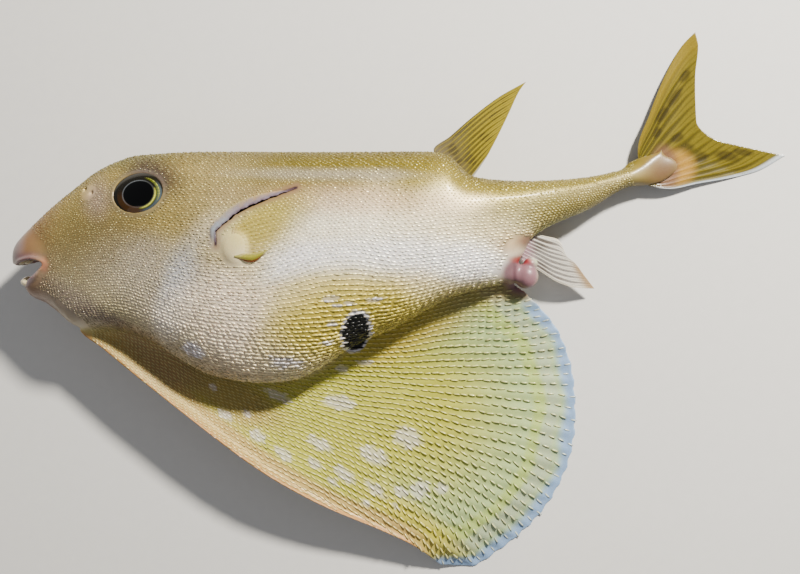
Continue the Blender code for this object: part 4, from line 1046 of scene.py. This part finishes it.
EYE_BALL, EYE_PROUD = (22, 16, 9.0), 2.4
PUPIL, PUPIL_SHIFT = (9.9, 8.0), (1.7, -1.1)
IRIS_DARK, IRIS_SILVER, IRIS_SLATE, IRIS_GOLD = "#17140C", "#787E84", "#4C585E", "#8E9418"
IRIS_GREEN, IRIS_HIGHLIGHT, EYE_EDGE_BROWN, PUPIL_BLACK = "#6E7A14", "#EAE670", "#4A2E0C", "#000000"
iris_material, tree, shader = new_material("iris_cells", {
    "IOR": 1.4, "Specular IOR Level": 0.0, "Coat Weight": 1.0, "Coat Roughness": 0.02, "Coat IOR": 1.36})
colour, channels, place = kept_marks(tree)
cells = node(tree, "ShaderNodeTexNoise", {"Vector": place, "Scale": 2200.0, "Detail": 3.0})
shade = node(tree, "ShaderNodeMapRange", {0: cells.outputs[0], 1: 0.3, 2: 0.7, 3: 0.7, 4: 1.3})
multiply_into(tree, shader, colour, shade.outputs[0])
tree.links.new(channels[0], shader.inputs["Metallic"])
tree.links.new(channels[1], shader.inputs["Roughness"])


def polar_cap(centre, axes, size, shares, heights, segments):
    """Rings round an axis, from a point at the middle to the last ring, as points and triangles."""
    angle = np.arange(segments) * 2 * math.pi / segments
    flat = np.stack([np.cos(angle) * size[0], np.sin(angle) * size[1]], axis=1)
    rings = [np.column_stack([flat * share, np.full(segments, height)])
             for share, height in zip(shares, heights)]
    corners = np.concatenate([[(0, 0, heights[0])], *rings]) @ np.array(axes) + centre
    k = np.arange(segments)
    n = (k + 1) % segments
    faces = [np.stack([0 * k, 1 + k, 1 + n], axis=1)]
    for ring in range(len(rings) - 1):
        a, b = 1 + ring * segments, 1 + (ring + 1) * segments
        faces += [np.stack([a + k, b + k, b + n], axis=1), np.stack([a + k, b + n, a + n], axis=1)]
    return corners, np.concatenate(faces)


for side, word in ((1, "left"), (-1, "right")):
    ahead, upward, outward = flank_axes(*EYE_PLACE, side)
    axes = (ahead, upward, outward)
    middle = flank_point(*EYE_PLACE, side) - outward * (EYE_BALL[2] - EYE_PROUD)
    shares = np.concatenate([np.linspace(0.01, 0.8, 110), np.linspace(0.82, 1.0, 10), [0.9, 0.6, 0.2]])
    dome = EYE_BALL[2] * np.sqrt(np.clip(1 - shares ** 2, 0, 1))
    dome[-3:] *= -1
    corners, faces = polar_cap(middle, axes, EYE_BALL, shares, dome, 128)
    if side < 0:
        faces = faces[:, ::-1]
    mesh = mesh_from(f"eye_{word}_ball", corners * MM, faces)
    u, v = (corners - middle) @ ahead - PUPIL_SHIFT[0], (corners - middle) @ upward - PUPIL_SHIFT[1]
    angle = np.arctan2(v, u)
    far = np.hypot(u / PUPIL[0], v / PUPIL[1])
    streak = 0.5 + 0.5 * np.sin(angle * 37 + 3 * np.sin(angle * 5))
    low_right, top_right = soft(np.cos(angle + 0.5), 0.55, 0.98), soft(np.cos(angle - 0.5), 0.6, 0.98)
    low_left, top_left = soft(np.cos(angle + 2.2), 0.3, 0.9), soft(np.cos(angle - 2.6), -0.2, 0.8)
    band = lambda middle, core, edge: 1 - soft(np.abs(far - middle), core, edge)
    tone = np.tile(linear(IRIS_DARK), (len(corners), 1))
    # The bright yellow lines along the gold and green crescents are painted highlights
    for shade_of, mask in ((IRIS_SLATE, soft(np.cos(angle + 0.4), 0.3, 0.9) * soft(far, 1.16, 1.3) * 0.8),
                           (EYE_EDGE_BROWN, low_left * 0.8),
                           (IRIS_SILVER, band(1.05, 0.01, 0.07) * (0.15 + 0.4 * top_left)),
                           (IRIS_GOLD, low_right * band(1.12, 0.02, 0.1)),
                           (IRIS_HIGHLIGHT, low_right * band(1.11, 0.01, 0.05) * (0.5 + 0.4 * streak)),
                           (IRIS_GREEN, top_right * band(1.30, 0.02, 0.12) * (0.4 + 0.4 * streak)),
                           (IRIS_HIGHLIGHT, top_right * band(1.34, 0.005, 0.03) * (0.1 + 0.5 * streak)),
                           (IRIS_DARK, soft(far, 1.44, 1.52)),
                           (PUPIL_BLACK, 1 - soft(far, 0.98, 1.02))):
        tone = tone + (linear(shade_of) - tone) * mask[:, None]
    shine = soft(far, 1.0, 1.06) * (1 - soft(far, 1.42, 1.52)) * 0.4
    write_attributes(mesh, tone, shine, 0.34 + 0 * far, np.ones(len(corners)))
    mesh.materials.append(iris_material)
    piece = new_object(f"eye_{word}_ball", mesh)
    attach(piece, "root")
    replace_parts(piece, f"eye_{word}")


# The teeth. The puffer's beak is three plates of bare enamel-covered bone, two above that meet at
# the middle and one below. Each is crowned, with faint growth lines along its cutting edge.

UPPER_BEAK, UPPER_BEAK_SIZE = (-231.6, 30.8), (4.8, 4.2, 6.5)
LOWER_BEAK, LOWER_BEAK_SIZE = (-228.2, 15.8), (4.8, 3.6, 7)
TOOTH_CREAM = "#E4D3A8"
enamel, tree, shader = new_material("tooth_enamel", {"IOR": 1.62, "Roughness": 0.22, "Coat Weight": 0.5,
                                                     "Coat Roughness": 0.05, "Subsurface Weight": 0.1,
                                                     "Subsurface Scale": 0.001})
place = node(tree, "ShaderNodeTexCoord")
lines = node(tree, "ShaderNodeTexWave", {"Vector": place.outputs["Object"], "Scale": 260.0,
                                         "Distortion": 2.0, "Detail": 2.0}, bands_direction="Y")
shade = node(tree, "ShaderNodeMapRange", {0: lines.outputs["Fac"], 3: 0.9, 4: 1.04})
multiply_into(tree, shader, (*linear(TOOTH_CREAM), 1), shade.outputs[0])


def tooth(name, place, size, sides, down):
    """One crowned plate, its cutting edge drawn out to a ridge; sides keeps one half of it."""
    segments, rings = 48, 20
    tilt = np.linspace(0.02, math.pi - 0.02, rings)
    angle = np.linspace(0, math.pi * 2, segments, endpoint=False)
    up = np.cos(tilt)[:, None] * np.ones(segments)
    ahead = np.sin(tilt)[:, None] * np.cos(angle)
    across = np.sin(tilt)[:, None] * np.sin(angle)
    sharp = np.where(up * down > 0, 1 - 0.45 * (up * down) ** 2, 1)
    if sides:
        across = (across + 1) / 2 * sides
    corners = np.stack([ahead * sharp * size[0] + place[0], up * size[1] + place[1],
                        across * size[2] + SNOUT_MIDDLE], axis=-1)
    if sides:
        corners[..., 2] += 0.12 * sides
    piece = loft(corners)
    piece.name = piece.data.name = name
    piece.data.transform(Matrix.Scale(MM, 4))
    piece.data.shade_smooth()
    piece.data.materials.append(enamel)
    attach(piece, "root")
    return piece


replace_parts(tooth("tooth_upper_left", UPPER_BEAK, UPPER_BEAK_SIZE, 1, -1), "upper_tooth_left")
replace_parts(tooth("tooth_upper_right", UPPER_BEAK, UPPER_BEAK_SIZE, -1, -1), "upper_tooth_right")
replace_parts(tooth("tooth_lower", LOWER_BEAK, LOWER_BEAK_SIZE, 0, 1), "lower_tooth")


# The gill membranes. A smooth lavender fold of skin lies over each gill slit from in front, fixed
# along its own front margin, and its thin free edge just covers the dark opening.

MEMBRANE_WIDTH, MEMBRANE_LIFT, MEMBRANE_THICK = 5.4, 0.5, 0.22
MEMBRANE_COLUMNS, MEMBRANE_ROWS = 90, 14
GILL_BLUE, GILL_EDGE = "#96A0A8", "#5E4A54"
for side, word in ((1, "left"), (-1, "right")):
    line = path(GILL_SLIT)
    s, t = np.linspace(0, 1, MEMBRANE_COLUMNS), np.linspace(0, 1, MEMBRANE_ROWS)
    place = line(s)
    ahead = line(np.minimum(s + 0.02, 1)) - line(np.maximum(s - 0.02, 0))
    away = np.stack([-ahead[:, 1], ahead[:, 0]], 1) / np.linalg.norm(ahead, axis=1)[:, None]
    wide = MEMBRANE_WIDTH * (0.15 + 0.85 * np.sin(math.pi * np.clip(s + 0.12, 0, 1)) ** 0.7)
    ragged = 0.25 * np.sin(s * 60) + 0.15 * np.sin(s * 143 + 1)
    reach = (wide + 0.7)[:, None] * t[None, :] - 0.5 + ragged[:, None] * (1 - t[None, :])
    plan = place[:, None] + away[:, None] * reach[..., None]
    present = (soft(s, 0.0, 0.15) * (1 - soft(s, 0.8, 1.0)))[:, None]
    cover = present * (1 - soft(t, 0.35, 0.95))[None, :]
    centre = flank_point(plan[..., 0], plan[..., 1], side, 0)
    centre[..., 2] += side * ((MEMBRANE_LIFT + 0.9) * cover ** 0.5 - 0.9)
    half = np.full(centre.shape[:2], MEMBRANE_THICK)
    corners = sheet_points(centre, half)
    count = len(corners)
    mesh = mesh_from(f"gill_membrane_{word}", corners * MM, sheet_faces(MEMBRANE_COLUMNS, MEMBRANE_ROWS))
    work = bmesh.new()
    work.from_mesh(mesh)
    bmesh.ops.recalc_face_normals(work, faces=work.faces)
    work.to_mesh(mesh)
    work.free()
    tint = markings(corners, 1)[0]
    free_edge = 1 - soft(t, 0.0, 0.2)[None, :] + 0 * present
    lower_end = 1 - soft(s, 0.1, 0.5)[:, None] + 0 * free_edge
    patchy = 0.75 + 0.25 * wander(plan[..., 0].ravel(), plan[..., 1].ravel(), 3, 8).reshape(cover.shape)
    for shade_of, mask in ((GILL_LILAC, cover * patchy), (GILL_BLUE, lower_end * cover * patchy),
                           (GILL_EDGE, free_edge * 0.7)):
        tint += (linear(shade_of) - tint) * np.tile(mask.ravel(), 2)[:, None]
    write_attributes(mesh, tint, np.full(count, 0.2), np.full(count, 0.3), np.ones(count))
    mesh.materials.append(bpy.data.materials["wet_skin"])
    membrane = new_object(f"gill_membrane_{word}", mesh)
    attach(membrane, "root")


# The fins. Bony rays that branch towards the edge carry a thin wet membrane. The tail and back
# fins are olive with dark marks, the anal fin is nearly clear, and the breast fins lie folded
# back, the right one pressed flat between the flank and the floor.

DORSAL_FRONT = ((38, 86, 29), (33.5, 96.5, 28), (43, 104.5, 26), (55, 115.5, 22), (72, 128.5, 19),
                (88, 137.5, 17))
DORSAL_EDGE = ((88, 137.5, 17), (84, 132, 18), (78, 119, 19.5), (71.5, 105, 22), (65, 92, 25))
DORSAL_REAR = ((52, 74, 26), (59, 83, 25.5), (65, 92, 25))
ANAL_FRONT = ((88, 48, 18), (100, 45, 15), (107, 43.3, 13), (110, 40, 12))
ANAL_EDGE = ((110, 40, 12), (113, 33, 11.5), (118, 28.7, 10), (124, 20.7, 8), (130, 13, 6.5))
ANAL_REAR = ((86, 30, 18), (96, 24.5, 15.5), (109, 16.5, 12), (120, 13.4, 9), (130, 13, 6.5))
CAUDAL_FRONT = ((155, 85, 8), (154.5, 96.5, 7), (161.5, 118.8, 4.5), (170, 140.8, 2.5),
                (180, 159, 0.5), (187.5, 166.9, 0))
CAUDAL_EDGE = ((187.5, 166.9, 0), (189.4, 158, 0), (188, 140, 0), (189, 114, 1), (200, 103, 0.5),
               (214, 99, 0), (240.3, 92.7, 0))
CAUDAL_REAR = ((155, 79, 8), (163, 74.8, 6.5), (173, 73.4, 5), (191, 76.7, 2.5), (208, 79.6, 1),
               (224, 83.5, 0), (240.3, 92.7, 0))
PECTORAL_LIFT, COLUMNS_PER_RAY = 0.7, 16
fin_material, tree, shader = new_material("fin_membrane", {
    "IOR": 1.4, "Coat Weight": 0.5, "Coat Roughness": 0.1, "Coat IOR": 1.33, "Subsurface Weight": 0.05,
    "Subsurface Radius": (1.0, 0.6, 0.3), "Subsurface Scale": 0.001})
colour, channels, place = kept_marks(tree)
grain = node(tree, "ShaderNodeTexNoise", {"Vector": place, "Scale": 1400.0, "Detail": 3.0})
shade = node(tree, "ShaderNodeMapRange", {0: grain.outputs[0], 1: 0.3, 2: 0.7, 3: 0.85, 4: 1.15})
multiply_into(tree, shader, colour, shade.outputs[0])
tree.links.new(channels[1], shader.inputs["Roughness"])
tree.links.new(channels[2], shader.inputs["Alpha"])
bump = node(tree, "ShaderNodeBump", {"Height": grain.outputs[0], "Strength": 0.4, "Distance": 0.00008})
tree.links.new(bump.outputs[0], shader.inputs["Normal"])


def ray_pattern(s, t, rays, first_fork, second_fork, width):
    """How much each place lies on a ray, 1 on its middle: each ray forks twice towards the edge."""
    on_ray = np.zeros(np.broadcast(s, t).shape)
    for k in range(rays):
        for fork in (-1, 1):
            for twig in (-1, 1):
                spread = fork * 0.25 * soft(t, first_fork, 1.1) + twig * 0.125 * soft(t, second_fork, 1.15)
                middle = (k + 0.5 + spread) / rays
                on_ray = np.maximum(on_ray, np.exp(-((s - middle) * rays / width) ** 2))
    return on_ray


def fin(name, lines, rays, rows, root_half, edge_half, ray_half, width, slot, colours, lay_down=None):
    """A rayed fin: its thin closed sheet, its colours by the place along and across it."""
    front, edge, rear = lines
    columns = rays * COLUMNS_PER_RAY + 1
    s, t = np.linspace(0, 1, columns), np.linspace(0, 1, rows)
    centre = patch(front, edge, rear, s, t)
    s, t = s[:, None], t[None, :]
    on_ray = ray_pattern(s, t, rays, first_fork=0.3, second_fork=0.65, width=width)
    if lay_down:
        centre = lay_down(centre, s, t)
    web = root_half + (edge_half - root_half) * t ** 0.6 + 0 * s
    half = web + on_ray * ray_half * (1 - 0.65 * t)
    corners = sheet_points(centre, half)
    mesh = mesh_from(name, corners * MM, sheet_faces(columns, rows))
    tone, alpha, rough = colours(s, t, on_ray, centre)
    twice = lambda value: np.concatenate([np.broadcast_to(value, (columns, rows)).ravel()] * 2)
    tone = np.concatenate([tone.reshape(-1, 3)] * 2)
    write_attributes(mesh, tone, np.zeros(len(corners)), twice(rough), twice(alpha))
    mesh.materials.append(fin_material)
    piece = new_object(name, mesh)
    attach(piece, "root")
    return piece


def blend(tone, colour, mask):
    return tone + (linear(colour) - tone) * np.clip(mask, 0, 1)[..., None]


def dorsal_colours(s, t, on_ray, centre):
    tone = np.zeros(centre.shape) + linear("#4E450F")
    tone = blend(tone, "#6E6350", (1 - soft(t, 0.05, 0.45)) * 0.8 + 0 * s)
    tone = blend(tone, "#96861F", on_ray * (0.3 + 0.4 * soft(t, 0.2, 0.6)))
    patches = wander(centre[..., 0].ravel(), centre[..., 1].ravel(), 8, 31).reshape(on_ray.shape)
    tone = blend(tone, "#30280E", (1 - on_ray) * soft(patches, 0.1, 0.6) * 0.6)
    tone = blend(tone, "#A5A39A", soft(s, 0.94, 0.99) * 0.8 + 0 * t)
    return tone, 0.90 + 0.1 * on_ray, 0.25 + 0 * on_ray


def caudal_colours(s, t, on_ray, centre):
    x, y = centre[..., 0].ravel(), centre[..., 1].ravel()
    tone = np.zeros(centre.shape) + linear("#463E0C")
    tone = blend(tone, "#80721C", on_ray * 0.5)
    tone = blend(tone, "#786618", (1 - soft(s, 0.02, 0.16)) * 0.9 + 0 * t)
    dark = np.zeros(len(x))
    for cx, cy, wide, tall, lean in ((169, 118, 7, 3.2, 55), (176, 128, 8, 3.0, 55), (182, 141, 5, 3, 60),
                                     (178, 104, 4.5, 3.2, 20), (184, 97.5, 4.5, 3.5, 15),
                                     (192, 92, 5, 4, 10), (207, 93, 8, 3.4, -10), (216, 95, 7, 2.4, -10),
                                     (166, 107, 4, 2.6, 60)):
        dark = np.maximum(dark, 1 - soft(oval(x, y, cx, cy, wide, tall, lean), 0.5, 1.2))
    tone = blend(tone, "#231C0A", dark.reshape(on_ray.shape) * 0.6)
    base = 1 - soft(oval(x, y, 171, 86, 9, 15, 8), 0.6, 1.15)
    tone = blend(tone, "#9A742C", (1 - soft(oval(x, y, 178, 86, 12, 12, 0), 0.5, 1.2)).reshape(on_ray.shape))
    tone = blend(tone, "#6C4E3A", base.reshape(on_ray.shape) * 0.9)
    tone = blend(tone, "#BFC7CE", soft(s, 0.955, 0.985) * soft(t, 0.08, 0.2) * 0.85)
    return tone, 0.93 + 0.07 * on_ray, 0.22 + 0 * on_ray


def anal_colours(s, t, on_ray, centre):
    tone = np.zeros(centre.shape) + linear("#5E5650")
    tone = blend(tone, "#D8D2C4", on_ray * 0.8)
    tone = blend(tone, "#E6DDC6", (1 - soft(s, 0.0, 0.05)) + 0 * t)
    tone = blend(tone, "#E6DDC6", soft(s, 0.95, 1.0) + 0 * t)
    tone = blend(tone, "#8A6A3A", soft(t, 0.82, 0.96) * soft(s, 0.3, 0.6) * 0.8)
    tone = blend(tone, "#A88890", (1 - soft(t, 0.05, 0.3)) * 0.8 + 0 * s)
    return tone, 0.6 + 0.35 * on_ray, 0.2 + 0 * on_ray


def pectoral_colours(s, t, on_ray, centre):
    tone = np.zeros(centre.shape) + linear("#B29E30")
    tone = blend(tone, "#CFC268", on_ray * 0.4)
    tone = blend(tone, "#C4B08A", (1 - soft(t, 0.05, 0.3)) + 0 * s)
    tone = blend(tone, "#8A8A22", soft(s, 0.74, 0.84) * 0.8 + 0 * t)
    tone = blend(tone, "#7A4218", soft(s, 0.93, 0.97) + 0 * t)
    solid_share = np.maximum(1 - soft(t, 0.05, 0.3) + 0 * s, soft(s, 0.76, 0.88) * (1 - soft(t, 0.6, 0.95)))
    clear = (1 - soft(t, 0.45, 1.0)) * soft(s, 0.0, 0.12)
    return tone, (0.12 + 0.18 * on_ray) * clear + 0.6 * solid_share, 0.3 + 0 * on_ray


def along_flank(centre, s, t):
    """Lay a breast fin back on the left flank, lifted a little at its folded lower edge."""
    lift = PECTORAL_LIFT + 1.0 * soft(s, 0.74, 0.86) * (1 - soft(s, 0.9, 1.0)) + 0 * t
    return flank_point(centre[..., 0], centre[..., 1], 1, lift)


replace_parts(fin("dorsal_fin_rays", (DORSAL_FRONT, DORSAL_EDGE, DORSAL_REAR), rays=11, rows=60,
                root_half=0.9, edge_half=0.12, ray_half=0.32, width=0.16, slot="fin_olive",
                colours=dorsal_colours), "dorsal_fin")
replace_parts(fin("caudal_fin_rays", (CAUDAL_FRONT, CAUDAL_EDGE, CAUDAL_REAR), rays=13, rows=110,
                root_half=1.1, edge_half=0.12, ray_half=0.3, width=0.15, slot="fin_olive",
                colours=caudal_colours), "caudal_fin")
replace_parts(fin("anal_fin_rays", (ANAL_FRONT, ANAL_EDGE, ANAL_REAR), rays=9, rows=50,
                root_half=0.8, edge_half=0.12, ray_half=0.3, width=0.16, slot="fin_pale",
                colours=anal_colours), "anal_fin")
pectoral = {"lines": (PECTORAL_FRONT, PECTORAL_EDGE, PECTORAL_REAR), "rays": 12, "rows": 50,
            "root_half": 0.5, "edge_half": 0.15, "ray_half": 0.2, "width": 0.22, "slot": "fin_olive",
            "colours": pectoral_colours}
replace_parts(fin("pectoral_fin_left_rays", lay_down=along_flank, **pectoral), "pectoral_fin_left")
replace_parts(fin("pectoral_fin_right_rays", **pectoral), "pectoral_fin_right")
